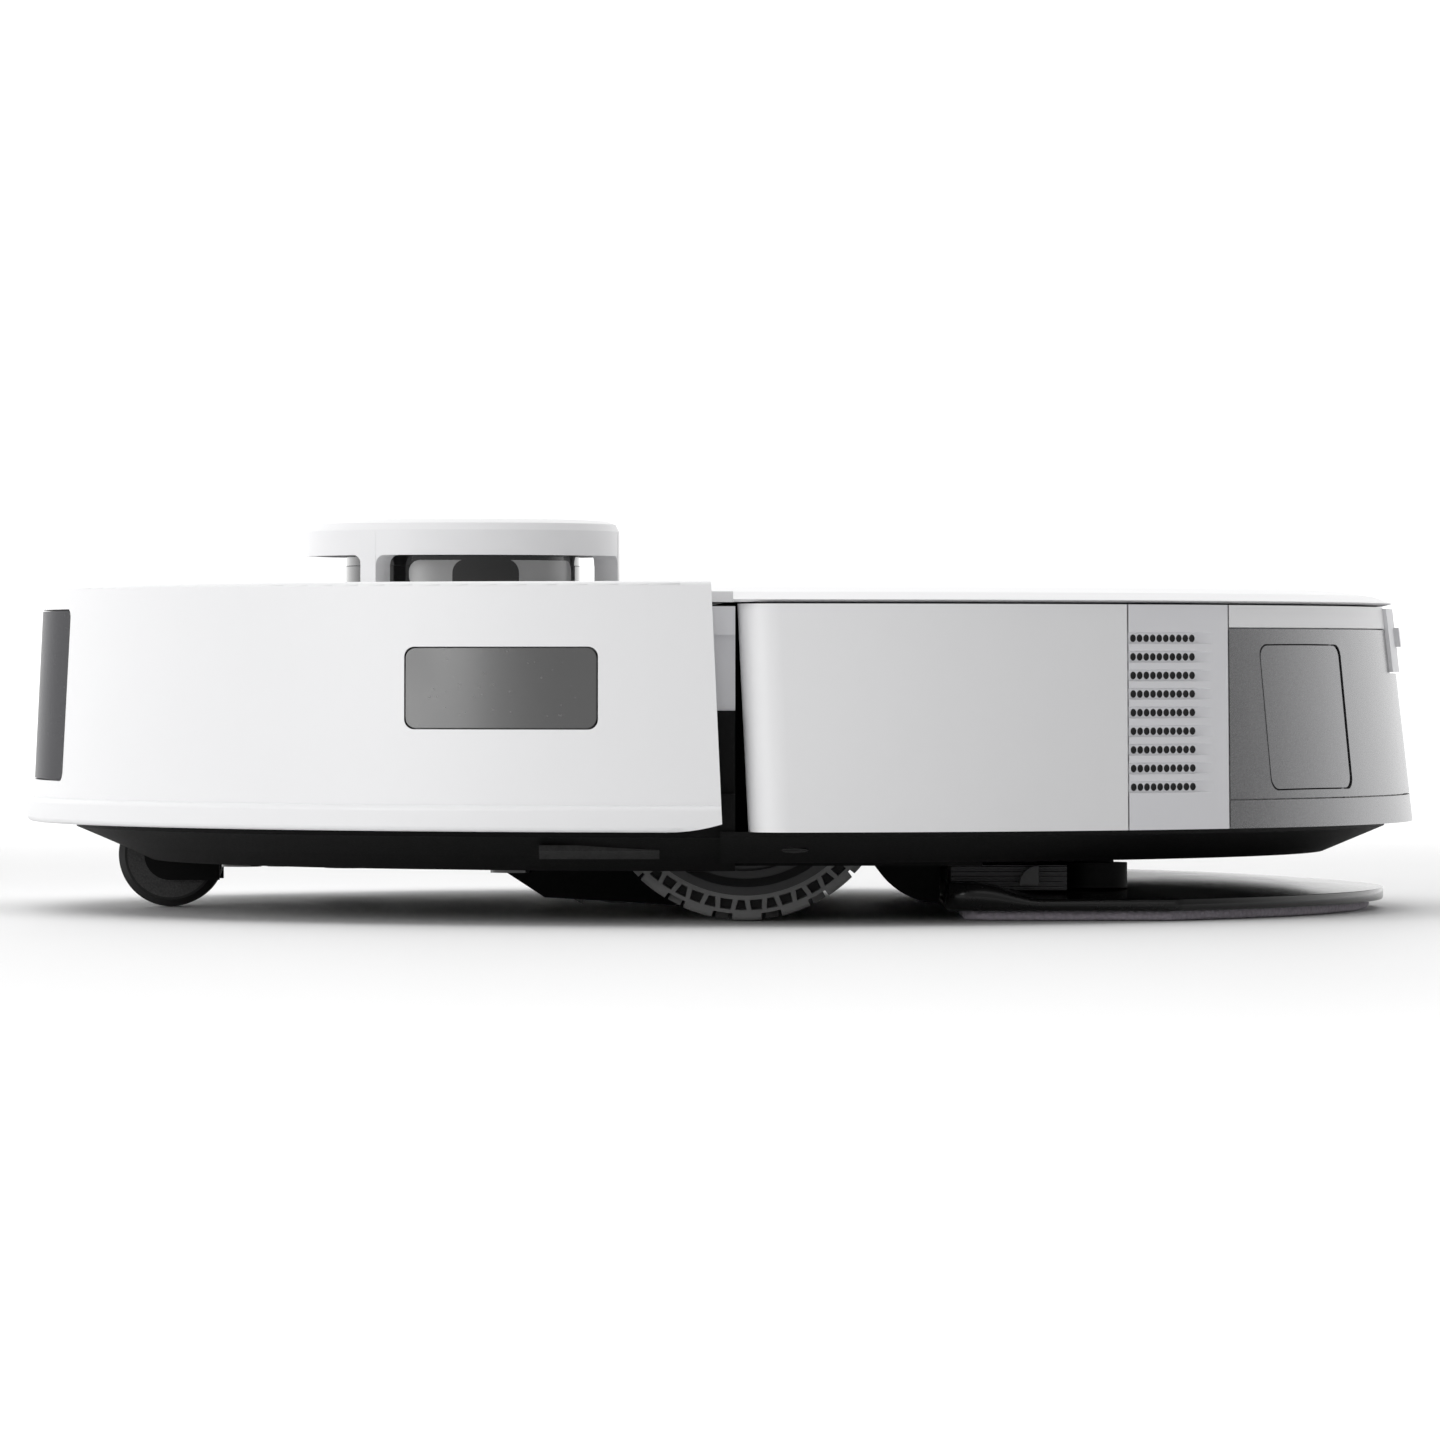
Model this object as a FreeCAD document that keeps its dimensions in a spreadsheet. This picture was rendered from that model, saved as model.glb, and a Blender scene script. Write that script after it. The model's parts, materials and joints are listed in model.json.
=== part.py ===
import FreeCAD, Part
import Sketcher
import math
import os
import re
from FreeCAD import Placement, Rotation, Vector

# Robot vacuum and mop. Origin on the floor under its centre, front towards -Y, +X its left side, +Z up.

doc = FreeCAD.newDocument("RobotVacuum")
sizes = doc.addObject("Spreadsheet::Sheet", "Sizes")

# Driving sizes in millimetres and degrees.
driving = {
    # overall
    "body_dia": 353,
    "deck_height": 82,
    "front_ground_gap": 12.3,
    "rear_ground_gap": 14.4,
    "skirt_low": 22.1,
    "side_wall": 2.5,
    "skin_wall": 1.6,
    "frame_wall": 1.8,
    "seam_gap": 0.35,
    "moving_gap": 0.6,
    "deck_inset": 12.5,
    # bumper
    "bumper_flange": 1.7,
    "bumper_draft": 2.6,
    "bumper_flange_high": 6.3,
    "bumper_end_low": 0.6,
    "bumper_lean": 2.6,
    "edge_round": 1.2,
    "window_seat": 2.5,
    "front_window_half": 61,
    "front_window_low": 33,
    "front_window_high": 75,
    "side_window_front": 74.6,
    "side_window_rear": 29.1,
    "side_window_low": 46.6,
    "side_window_high": 65.5,
    "window_round": 2.4,
    # rear shell
    "rear_front_low": 6.7,
    "rear_front_high": 4.1,
    "rear_corner": 9,
    "rear_curl_half": "=body_dia / 2 - 18.5",
    "shell_foot_inset": 0.7,
    "shell_taper": 4,
    "shell_shift": 2.1,
    "vent_front": 97.3,
    "vent_rear": 123,
    "slot_front": 101,
    "slot_rear": 118,
    "slot_pitch": 4.45,
    "slot_high": 2.1,
    "slot_lowest": 32.3,
    "slot_count": 9,
    "band_low": 70.6,
    "skirt_high": 29.2,
    "dock_half": 37,
    "dock_low": 59.7,
    "dock_proud": 0.9,
    "contact_x": 17,
    "contact_half": 7,
    "contact_low": 66.1,
    "contact_high": 70.9,
    "contact_proud": 1.3,
    # outlet door
    "door_azimuth": 56,
    "door_wide": 38,
    "door_tall": 35,
    "door_centre_z": 48.9,
    "door_hinge_gap": 1.5,
    "door_pin_dia": 1.4,
    "door_pin_inset": 1.4,
    "door_pin_deep": 2.9,
    "door_pin_half": 18.9,
    "door_barrel_dia": 2.7,
    "door_barrel_half": 15.8,
    "door_round": 3,
    "port_half_wide": 15,
    "port_half_tall": 17.9,
    "pin_fit": 0.05,
    # drive wheels
    "wheel_dia": 74,
    "wheel_wide": 22,
    "wheel_face": 128,
    "wheel_axle_y": 6,
    "tyre_thick": 6,
    "arm_thick": 9,
    "arm_pivot_y": 48,
    "arm_pivot_z": 40,
    # caster
    "caster_dia": 26.6,
    "caster_wide": 15,
    "caster_front": 36.5,
    "caster_trail": 2,
    "caster_well": 36,
    "caster_tyre_thick": 2.3,
    "fork_cheek_dia": 13,
    "fork_cheek_thick": 1.8,
    "fork_tail": 14.6,
    # main roller
    "roller_dia": 39,
    "roller_y": -27.5,
    "roller_z": 20.9,
    "roller_half": 78,
    "guard_half": 88,
    # side brush
    "side_brush_x": -105,
    "side_brush_y": -98,
    "side_brush_reach": 43,
    # turret
    "turret_y": -65.7,
    "turret_dia": 80,
    "turret_cap_high": 9.5,
    "turret_lift": 7.2,
    "rotor_dia": 60,
    "leg_radial": 6,
    "leg_tangential": 4.8,
    "leg_fillet": 2.4,
    "leg_first_angle": -35,
    "belt_reach": 45,
    "belt_thick": 1.2,
    "big_pulley_dia": 44,
    "small_pulley_dia": 11,
    # cover
    "cover_front": "=turret_y + turret_dia / 2 + 3.7",
    "cover_hinge_y": "=cover_front + 5",
    "cover_hinge_drop": 4.4,
    "cover_thick": 2.5,
    "hinge_x": 60,
    "hinge_pin_dia": 2,
    "hinge_pin_half": 15.8,
    "knuckle_half": 10.4,
    "knuckle_dia": 4.2,
    "ear_thick": 5,
    "ear_dia": 3,
    "beam_low": 56,
    # mop
    "mop_half": 128,
    "mop_inset": 7.5,
    "mop_front": 54.4,
    "mop_pad_thick": 2.3,
    "post_x": 100,
    "post_y": 91,
    "post_dia": 16.6,
    "post_stem_dia": 10,
    "post_foot_high": 13.4,
    "nose_half": 103,
    "nose_dia": 36.4,
    "nose_y": 53.6,
    "nose_z": 21.7,
    # insides
    "bin_half": 76,
    "bin_split": -18,
    "bin_front": 12,
    "bin_rear": 112,
    "bin_wall": 1.5,
    "bin_low": 27,
    "fan_dia": 50,
    "fan_x": -14,
    "fan_y": 138,
    "fan_low": 26,
    "fan_high": 56,
    "battery_half": 72,
    "battery_front": "=55.5 - body_dia / 2",
    "battery_long": 44,
    "battery_high": 26,
    "board_half": 78,
    "board_front": "=50.5 - body_dia / 2",
    "board_long": 48,
    "board_low": 45,
    "board_thick": 1.6,
    "screw_head_dia": 5,
    "felt_front": 43,
    "felt_long": 28.6,
    "felt_wide": 5.4,
    "felt_thick": 1.4,
    "felt_lean": 23.1,
    "button_dia": 18,
    "button_y": -135,
}
for number, (alias, amount) in enumerate(driving.items(), start=1):
    sizes.set(f"A{number}", alias)
    sizes.set(f"B{number}", str(amount))
    sizes.setAlias(f"B{number}", alias)
doc.recompute()

parts = {}


def linked(text):
    """Puts the sheet's name before each size that an expression names."""
    return re.sub(r"\b[a-z]+(?:_[a-z]+)+\b", r"Sizes.\g<0>", str(text))


def value(text):
    return float(sizes.evalExpression(str(text)))


def bind(thing, **settings):
    for name, text in settings.items():
        thing.setExpression(name.replace("__", "."), linked(text))
    return thing


def place(thing, x=0, y=0, z=0, turn=None):
    if turn is not None:
        thing.Placement.Rotation = turn
    return bind(thing, Placement__Base__x=x, Placement__Base__y=y, Placement__Base__z=z)


def node(label, thing):
    """Names a finished sub-part."""
    thing.Label = label
    parts[label] = thing
    return thing


def block(name, x, y, z):
    """A box between a low and a high size along each axis."""
    box = doc.addObject("Part::Box", name)
    bind(box, Length=f"({x[1]}) - ({x[0]})", Width=f"({y[1]}) - ({y[0]})", Height=f"({z[1]}) - ({z[0]})")
    return place(box, x[0], y[0], z[0])


along = {
    "X": Rotation(Vector(0, 1, 0), 90),
    "Y": Rotation(Vector(1, 0, 0), -90),
    "Z": Rotation(),
}


def rod(name, radius, axis, span, at=(0, 0)):
    """A cylinder along an axis, from a low to a high size; at gives its other two coordinates in order."""
    piece = doc.addObject("Part::Cylinder", name)
    bind(piece, Radius=radius, Height=f"({span[1]}) - ({span[0]})")
    spots = {"X": (span[0], at[0], at[1]), "Y": (at[0], span[0], at[1]), "Z": (at[0], at[1], span[0])}
    return place(piece, *spots[axis], along[axis])


def fused(name, *pieces):
    piece = doc.addObject("Part::MultiFuse", name)
    piece.Shapes = list(pieces)
    return piece


def shared(name, *pieces):
    piece = doc.addObject("Part::MultiCommon", name)
    piece.Shapes = list(pieces)
    return piece


def cut(name, base, *tools):
    piece = doc.addObject("Part::Cut", name)
    piece.Base = base
    piece.Tool = tools[0] if len(tools) == 1 else fused(name + "Tools", *tools)
    return piece


def mirrored(name, source):
    """The same piece on the other side of the machine."""
    piece = doc.addObject("Part::Mirroring", name)
    piece.Source = source
    piece.Normal = Vector(1, 0, 0)
    return piece


def rounded(name, base, radius, wanted):
    """Fillets the edges that the test wanted picks."""
    doc.recompute()
    amount = value(radius)
    picks = [number for number, edge in enumerate(base.Shape.Edges, start=1) if wanted(edge)]
    piece = doc.addObject("Part::Fillet", name)
    piece.Base = base
    piece.Edges = [(number, amount, amount) for number in picks]
    return piece


def runsAlong(axis):
    """A test for straight edges along one axis."""
    direction = {"X": Vector(1, 0, 0), "Y": Vector(0, 1, 0), "Z": Vector(0, 0, 1)}[axis]

    def test(edge):
        if edge.Curve.TypeId != "Part::GeomLine":
            return False
        return abs(abs(edge.Curve.Direction.dot(direction)) - 1) < 1e-6

    return test


def outline(body, plane, points):
    """A closed sketch whose corners are each tied to sizes of the sheet."""
    sketch = body.newObject("Sketcher::SketchObject", body.Name + "Sketch")
    support = [item for item in body.Origin.OriginFeatures if item.Role == plane][0]
    sketch.AttachmentSupport = [(support, "")]
    sketch.MapMode = "FlatFace"
    spots = [(value(across), value(up)) for across, up in points]
    count = len(spots)
    for index in range(count):
        start = Vector(*spots[index], 0)
        end = Vector(*spots[(index + 1) % count], 0)
        sketch.addGeometry(Part.LineSegment(start, end), False)
    for index in range(count):
        sketch.addConstraint(Sketcher.Constraint("Coincident", index, 2, (index + 1) % count, 1))
    for index, (spot, texts) in enumerate(zip(spots, points)):
        for kind, distance, text, line in zip(("DistanceX", "DistanceY"), spot, texts, (-2, -1)):
            if abs(distance) < 1e-9:
                sketch.addConstraint(Sketcher.Constraint("PointOnObject", index, 1, line))
                continue
            if distance > 0:
                rule = Sketcher.Constraint(kind, -1, 1, index, 1, distance)
            else:
                rule = Sketcher.Constraint(kind, index, 1, -1, 1, -distance)
            place_number = sketch.addConstraint(rule)
            sign = "" if distance > 0 else "-"
            sketch.setExpression(f"Constraints[{place_number}]", f"{sign}({linked(text)})")
    return sketch


def turned(name, points, at=(0, 0, 0), turn=None):
    """A solid of revolution about +Z: each point is a radius and a height."""
    body = doc.addObject("PartDesign::Body", name)
    sketch = outline(body, "XZ_Plane", points)
    feature = body.newObject("PartDesign::Revolution", name + "Turn")
    feature.Profile = sketch
    feature.ReferenceAxis = (sketch, ["V_Axis"])
    feature.Angle = 360
    return place(body, *at, turn)


def padded(name, plane, points, length, at=(0, 0, 0)):
    """An outline raised by a length, centred on its plane."""
    body = doc.addObject("PartDesign::Body", name)
    sketch = outline(body, plane, points)
    feature = body.newObject("PartDesign::Pad", name + "Pad")
    feature.Profile = sketch
    feature.Midplane = True
    bind(feature, Length=length)
    return place(body, *at)


body_r = "(body_dia / 2)"
deck_r = f"({body_r} - deck_inset)"
far = f"({body_r} + 20)"
wheel_r = "(wheel_dia / 2)"


# ---- Rear shell: an oblique cone with a straight front and rounded front corners

shell_top = "(deck_height - 6)"
shellLow = value("skirt_low")
shellHigh = value(shell_top)


def shellRound(share):
    """The big arc's radius and its centre's place along Y, at a share of the shell's height."""
    radius = value(body_r) - value("shell_foot_inset") - value("shell_taper") * share
    return radius, value("shell_foot_inset") - value("shell_shift") * share


def shellSection(inset, height):
    """The closed outline of the rear shell, set in by a wall, at one height.

    A big arc round the back, a small arc at each front corner and a straight front between them.
    """
    share = (height - shellLow) / (shellHigh - shellLow)
    radius, centre = shellRound(share)
    radius -= inset
    front = value("rear_front_low") + share * (value("rear_front_high") - value("rear_front_low")) + inset
    corner = max(value("rear_corner") - inset, 1)
    cornerY = front + corner
    cornerX = math.sqrt((radius - corner) ** 2 - (cornerY - centre) ** 2)
    lean = math.atan2(cornerY - centre, cornerX)
    middle = (lean - math.pi / 2) / 2

    def spot(x, y):
        return Vector(x, y, height)

    tangentX = radius * math.cos(lean)
    tangentY = centre + radius * math.sin(lean)
    halfX = cornerX + corner * math.cos(middle)
    halfY = cornerY + corner * math.sin(middle)
    back = Part.Arc(spot(tangentX, tangentY), spot(0, centre + radius), spot(-tangentX, tangentY))
    left = Part.Arc(spot(-tangentX, tangentY), spot(-halfX, halfY), spot(-cornerX, front))
    straight = Part.LineSegment(spot(-cornerX, front), spot(cornerX, front))
    right = Part.Arc(spot(cornerX, front), spot(halfX, halfY), spot(tangentX, tangentY))
    return Part.Wire([back.toShape(), left.toShape(), straight.toShape(), right.toShape()])


def shellLayer(name, inset, extra=0):
    """The solid inside the rear shell's surface, set in by a wall and run past both ends by extra."""
    sections = []
    for end, height in (("Low", shellLow - extra), ("High", shellHigh + extra)):
        wire = doc.addObject("Part::Feature", name + end)
        wire.Shape = shellSection(inset, height)
        sections.append(wire)
    layer = doc.addObject("Part::Loft", name)
    layer.Sections = sections
    layer.Solid = True
    layer.Ruled = True
    return layer


skinWall = value("skin_wall")
layerOverrun = 1
shellOuter = shellLayer("ShellOuter", 0)
shellMiddle = shellLayer("ShellMiddle", skinWall, layerOverrun)
shellInner = shellLayer("ShellInner", skinWall + value("frame_wall"), layerOverrun)
shellProud = shellLayer("ShellProud", -value("dock_proud"))
skinRing = cut("SkinRing", shellOuter, shellMiddle)
openFront = block("ShellOpenFront", ("-rear_curl_half", "rear_curl_half"), (-10, 40), (0, 120))
skinOpen = cut("SkinOpen", skinRing, openFront)

sidePanel = shared("SidePanelLeft", skinOpen, block("SidePanelZone", (10, far), (-5, "vent_front"), (0, 120)))
node("side_panel_left", sidePanel)
node("side_panel_right", mirrored("SidePanelRight", sidePanel))

slotTools = []
for row in range(int(value("slot_count"))):
    middle = f"slot_lowest + {row} * slot_pitch"
    slotTools.append(block(
        f"Slot{row}", (50, far), ("slot_front", "slot_rear"),
        (f"{middle} - slot_high / 2", f"{middle} + slot_high / 2")))
ventZone = block("VentZone", (50, far), ("vent_front + seam_gap", "vent_rear - seam_gap"), (0, 120))
ventGrille = cut("VentLeft", shared("VentSkin", skinOpen, ventZone), *slotTools)
node("exhaust_grille_left", ventGrille)
node("exhaust_grille_right", mirrored("VentRight", ventGrille))

# The door's own frame: u runs round the shell towards the rear, v up along it, n out of it.
doorAzimuth = math.radians(value("door_azimuth"))
doorShare = (value("door_centre_z") - shellLow) / (shellHigh - shellLow)
doorRadius, doorOffset = shellRound(doorShare)
doorReach = doorOffset * math.sin(doorAzimuth) + math.sqrt(
    doorRadius ** 2 - (doorOffset * math.cos(doorAzimuth)) ** 2)
doorInset = value("shell_taper") + value("shell_shift") * math.sin(doorAzimuth)
doorLean = math.atan(doorInset / (shellHigh - shellLow))
doorU = Vector(-math.sin(doorAzimuth), math.cos(doorAzimuth), 0)
doorN = Vector(math.cos(doorAzimuth) * math.cos(doorLean),
               math.sin(doorAzimuth) * math.cos(doorLean), math.sin(doorLean))
doorV = doorN.cross(doorU)
doorTurn = Rotation(doorU, doorV, doorN, "XYZ")
doorCentre = Vector(doorReach * math.cos(doorAzimuth), doorReach * math.sin(doorAzimuth),
                    value("door_centre_z"))


def doorBlock(name, u, v, n):
    """A box in the door's own frame."""
    box = doc.addObject("Part::Box", name)
    bind(box, Length=f"({u[1]}) - ({u[0]})", Width=f"({v[1]}) - ({v[0]})", Height=f"({n[1]}) - ({n[0]})")
    corner = Vector(value(u[0]), value(v[0]), value(n[0]))
    box.Placement = Placement(doorCentre + doorTurn.multVec(corner), doorTurn)
    return box


def doorRod(name, radius, v):
    """A cylinder on the door's hinge line."""
    piece = doc.addObject("Part::Cylinder", name)
    bind(piece, Radius=radius, Height=f"({v[1]}) - ({v[0]})")
    foot = Vector(value("door_wide / 2 - door_pin_inset"), value(v[0]), value("-door_pin_deep"))
    piece.Placement = Placement(doorCentre + doorTurn.multVec(foot), doorTurn.multiply(along["Y"]))
    return piece


doorSides = ("-door_wide / 2", "door_wide / 2")
doorEnds = ("-door_tall / 2", "door_tall / 2")
doorPlate = rounded("DoorPlate", doorBlock("DoorZone", doorSides, doorEnds, (-8, 6)), "door_round",
                    lambda edge: abs(abs(edge.Curve.Direction.dot(doorN)) - 1) < 1e-6)
doorHole = rounded(
    "DoorHole",
    doorBlock("DoorHoleZone", ("-door_wide / 2 - seam_gap", "door_wide / 2 + door_hinge_gap"),
              ("-door_tall / 2 - seam_gap", "door_tall / 2 + seam_gap"), (-12, 8)), "door_round",
    lambda edge: abs(abs(edge.Curve.Direction.dot(doorN)) - 1) < 1e-6)
doorPort = doorBlock("DoorPort", ("-port_half_wide", "door_wide / 2 + door_hinge_gap"),
                     ("-port_half_tall", "port_half_tall"), (-30, 2))
doorSkin = shared("DoorSkin", skinOpen, doorPlate)
doorBarrel = doorRod("DoorBarrel", "door_barrel_dia / 2", ("-door_barrel_half", "door_barrel_half"))
doorBore = doorRod("DoorBore", "door_pin_dia / 2 + pin_fit", (-20, 20))
node("dust_door", cut("DustDoor", fused("DoorSolid", doorSkin, doorBarrel), doorBore))
doorPin = doorRod("DoorPin", "door_pin_dia / 2", ("-door_pin_half", "door_pin_half"))
node("dust_door_pin", doorPin)

dockHole = block("DockHole", ("-dock_half - seam_gap", "dock_half + seam_gap"), (100, far),
                 ("dock_low - seam_gap", shell_top))
dockZone = block("DockZone", ("-dock_half", "dock_half"), (100, far), ("dock_low", f"{shell_top} - seam_gap"))
node("docking_plate", shared("DockingPlate", cut("DockRing", shellProud, shellMiddle), dockZone))
contactOuter = shellLayer("ContactOuter", -value("dock_proud") - value("contact_proud"))
contactPads = [block(f"ContactPad{side}",
                     (f"{side} * contact_x - contact_half", f"{side} * contact_x + contact_half"),
                     (100, far), ("contact_low", "contact_high")) for side in (-1, 1)]
node("charge_contacts", shared("ChargeContacts", cut("ContactRing", contactOuter, shellProud),
                               fused("ContactPads", *contactPads)))

panelZone = block("PanelZone", (f"-{far}", far), ("vent_rear", far), ("skirt_high", "band_low - seam_gap"))
node("rear_panel", cut("RearPanel", shared("PanelSkin", skinOpen, panelZone), doorHole, dockHole, doorBore))
skirtZone = block("SkirtZone", (f"-{far}", far), ("vent_rear", far), (0, "skirt_high - seam_gap"))
node("rear_skirt", shared("RearSkirt", skinOpen, skirtZone))

bandZone = block("BandZone", (f"-{far}", far), ("vent_rear", far), ("band_low", 120))
frameBand = cut("FrameBand", shared("FrameBandSkin", skinOpen, bandZone), dockHole)
frameRing = cut("FrameRing", cut("FrameWall", shellMiddle, shellInner), openFront)
frameTrim = block("FrameTrim", (f"-{far}", far), (-20, far), ("skirt_low", shell_top))
frameLip = cut("FrameLip",
               shared("FrameLipSlab", shellMiddle,
                      block("LipSlab", (f"-{far}", far), (16, far), ("skirt_low", "skirt_low + side_wall"))),
               rod("LipHole", f"{body_r} - 9.3", "Z", (0, 60)))
ventWindow = block("VentWindow", (50, far), ("slot_front - 1", "slot_rear + 1"),
                   ("slot_lowest - 3", "slot_lowest + (slot_count - 1) * slot_pitch + 3"))
ventWindows = [ventWindow, mirrored("VentWindowRight", ventWindow)]
node("rear_frame", cut("RearFrame",
                       fused("FrameParts", shared("FrameTrimmed", frameRing, frameTrim), frameLip, frameBand),
                       doorPort, doorBore, *ventWindows))


# ---- Bumper

bumper_top = "(deck_height - 0.7)"
bumper_low_r = f"({body_r} - bumper_flange)"
bumper_top_r = f"({bumper_low_r} - bumper_draft)"
flange_top = "(skirt_low + bumper_flange_high)"


def bumperLayer(name, outside, inside):
    """A ring that follows the bumper's drafted wall between two depths."""
    return turned(name, [
        (f"{bumper_low_r} - {inside}", "skirt_low"),
        (f"{bumper_low_r} - {outside}", "skirt_low"),
        (f"{bumper_low_r} - {outside}", flange_top),
        (f"{bumper_top_r} - {outside}", bumper_top),
        (f"{bumper_top_r} - {inside}", bumper_top),
        (f"{bumper_low_r} - {inside}", flange_top),
    ])


bumperRing = turned("BumperRing", [
    (f"{bumper_low_r} - side_wall", "skirt_low"),
    (body_r, "skirt_low"),
    (body_r, f"{flange_top} - 0.3"),
    (bumper_low_r, flange_top),
    (bumper_top_r, bumper_top),
    (f"{bumper_top_r} - side_wall", bumper_top),
    (f"{bumper_low_r} - side_wall", flange_top),
])


def outerRim(edge):
    """The bumper's outer rims, at its top and at its flange's foot."""
    if edge.Curve.TypeId != "Part::GeomCircle":
        return False
    atTop = abs(edge.Curve.Radius - value(bumper_top_r)) < 0.01
    atFoot = abs(edge.Curve.Radius - value(body_r)) < 0.01
    return atTop or atFoot


bumperSoft = rounded("BumperSoft", bumperRing, "edge_round", outerRim)
bumperEnd = block("BumperEnd", (f"-{far}", far), (0, far), (-20, 140))
bumperEnd.Placement.Rotation = Rotation(Vector(1, 0, 0), value("bumper_lean"))
place(bumperEnd, f"-{far}", "bumper_end_low + 1.9", -20)
flangeSweep = cut("FlangeSweep",
                  block("FlangeSweepZone", (f"-{far}", far), ("bumper_end_low - 13.4", 6),
                        (18, "skirt_low + 4")),
                  rod("FlangeSweepRound", 46, "X", (f"-{far} - 1", f"{far} + 1"),
                      ("bumper_end_low - 13.4", "skirt_low + 46")))


def windowZone(name, x, y, z, axis, grow):
    zone = block(name + "Zone", (f"{x[0]} - ({grow})", f"{x[1]} + ({grow})"),
                 (f"{y[0]} - ({grow})", f"{y[1]} + ({grow})"), (f"{z[0]} - ({grow})", f"{z[1]} + ({grow})"))
    return rounded(name, zone, "window_round", runsAlong(axis))


frontSpan = (("-front_window_half", "front_window_half"), (f"-{far}", -60),
             ("front_window_low", "front_window_high"), "Y")
leftSpan = ((100, far), ("-side_window_front", "-side_window_rear"),
            ("side_window_low", "side_window_high"), "X")
rightSpan = ((f"-{far}", -100), leftSpan[1], leftSpan[2], "X")
windowSkin = bumperLayer("WindowSkin", 0, "side_wall")
windowBack = bumperLayer("WindowBack", "side_wall", "(side_wall + 1.2)")
windows = {}
windowHoles = []
for label, span in (("FrontWindow", frontSpan), ("LeftWindow", leftSpan), ("RightWindow", rightSpan)):
    face = shared(label + "Face", windowSkin, windowZone(label + "Shape", *span, 0))
    back = shared(label + "Seat", windowBack, windowZone(label + "Wide", *span, "window_seat"))
    windows[label] = fused(label, face, back)
    windowHoles.append(windowZone(label + "Hole", *span, "seam_gap"))
node("front_window", windows["FrontWindow"])
node("side_windows", fused("SideWindows", windows["LeftWindow"], windows["RightWindow"]))
node("bumper_shell", cut("BumperShell", bumperSoft, bumperEnd, flangeSweep, *windowHoles))


# ---- Chassis

fg = "front_ground_gap"
rg = "rear_ground_gap"
dark_top = "(deck_height - 31.3)"
frontTub = turned("FrontTub", [
    (0, fg), (f"{body_r} - 31.5", fg), (f"{body_r} - 23.5", f"{fg} + 3.7"), (deck_r, f"{fg} + 8.4"),
    (deck_r, dark_top), (f"{deck_r} - side_wall", dark_top), (f"{deck_r} - side_wall", f"{fg} + 9.6"),
    (f"{body_r} - 24.6", f"{fg} + 6.2"), (f"{body_r} - 32.6", f"{fg} + side_wall"), (0, f"{fg} + side_wall")])
rearTub = turned("RearTub", [
    (0, rg), (f"{body_r} - 22.7", rg), (f"{body_r} - 7.2", f"{rg} + 6.5"), (f"{body_r} - 7.2", "skirt_low"),
    (f"{body_r} - 9.5", "skirt_low"), (f"{body_r} - 9.5", 31), (f"{body_r} - 9.5 - side_wall", 31),
    (f"{body_r} - 9.5 - side_wall", f"{rg} + 7.6"), (f"{body_r} - 24.5", f"{rg} + side_wall"),
    (0, f"{rg} + side_wall")])
tub_split = "(rear_front_high - 0.5)"
tubFront = shared("TubFront", frontTub,
                  block("TubFrontZone", (f"-{far}", far), (f"-{far}", tub_split), (0, 120)))
tubRear = shared("TubRear", rearTub, block("TubRearZone", (f"-{far}", far), (0, far), (0, 120)))
curlLeft = block("CurlRoomLeft", (f"{body_r} - 21.5", far), (tub_split, 18), ("skirt_low", 60))
curlRoom = [curlLeft, mirrored("CurlRoomRight", curlLeft)]

well_in = "(wheel_face - wheel_wide - arm_thick - 4)"
well_out = "(wheel_face + 3)"
well_front = f"(wheel_axle_y - {wheel_r} - 2)"
well_rear = "(arm_pivot_y + 13)"
well_gap = 1.4
well_wall = 1.3
wellWide = (f"{well_in} - 2", f"{well_out} + 2")
wheelAt = ("wheel_axle_y", wheel_r)
wellWalls = fused("WellWalls",
                  block("WellWallsLow", wellWide, (f"{well_front} - 2", f"{well_rear} + 2"),
                        (f"{fg} + 1", wheel_r)),
                  block("WellWallsArm", wellWide, ("wheel_axle_y", f"{well_rear} + 2"),
                        (f"{fg} + 1", "arm_pivot_z + 18")),
                  shared("WellRoof",
                         rod("WellRoofRound", f"{wheel_r} + {well_gap} + {well_wall}", "X", wellWide,
                             wheelAt),
                         block("WellRoofZone", wellWide, (f"-{far}", far), (f"{wheel_r} - 1", 120))))
wellRoom = fused("WellRoom",
                 block("WellRoomLow", (well_in, well_out), (well_front, f"wheel_axle_y + {wheel_r} + 4"),
                       (-5, wheel_r)),
                 rod("WellRoomRound", f"{wheel_r} + {well_gap}", "X", (well_in, well_out), wheelAt))
armRoom = block("ArmRoom", (well_in, f"{well_out} - 10"), ("wheel_axle_y", well_rear),
                (-5, "arm_pivot_z + 16"))
tunnelWalls = block("TunnelWalls", ("-roller_half - 4", "roller_half + 4"),
                    ("roller_y - roller_dia / 2 - 5", "roller_y + roller_dia / 2 + 5"),
                    (f"{fg} + 1", "roller_z + 25"))
tunnelRound = rod("TunnelRound", "roller_dia / 2 + 2", "X", ("-roller_half - 1.5", "roller_half + 1.5"),
                  ("roller_y", "roller_z"))
tunnelMouth = block("TunnelMouth", ("-roller_half - 1.5", "roller_half + 1.5"),
                    ("roller_y - roller_dia / 2 - 2", "roller_y + roller_dia / 2 + 2"), (-5, "roller_z"))
ductWalls = block("DuctWalls", (-32, 32), ("roller_y + 10", "bin_front"), ("roller_z", "roller_z + 24"))
ductRoom = block("DuctRoom", (-30, 30), ("roller_y + 8", "bin_front + 5"), ("roller_z + 2", "roller_z + 22"))
shaftHoles = rod("ShaftHoles", 3.05, "X", ("-roller_half - 6", "roller_half + 6"), ("roller_y", "roller_z"))
caster_y = f"(-{body_r} + caster_front - caster_trail)"
caster_axle_y = f"(-{body_r} + caster_front)"
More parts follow.
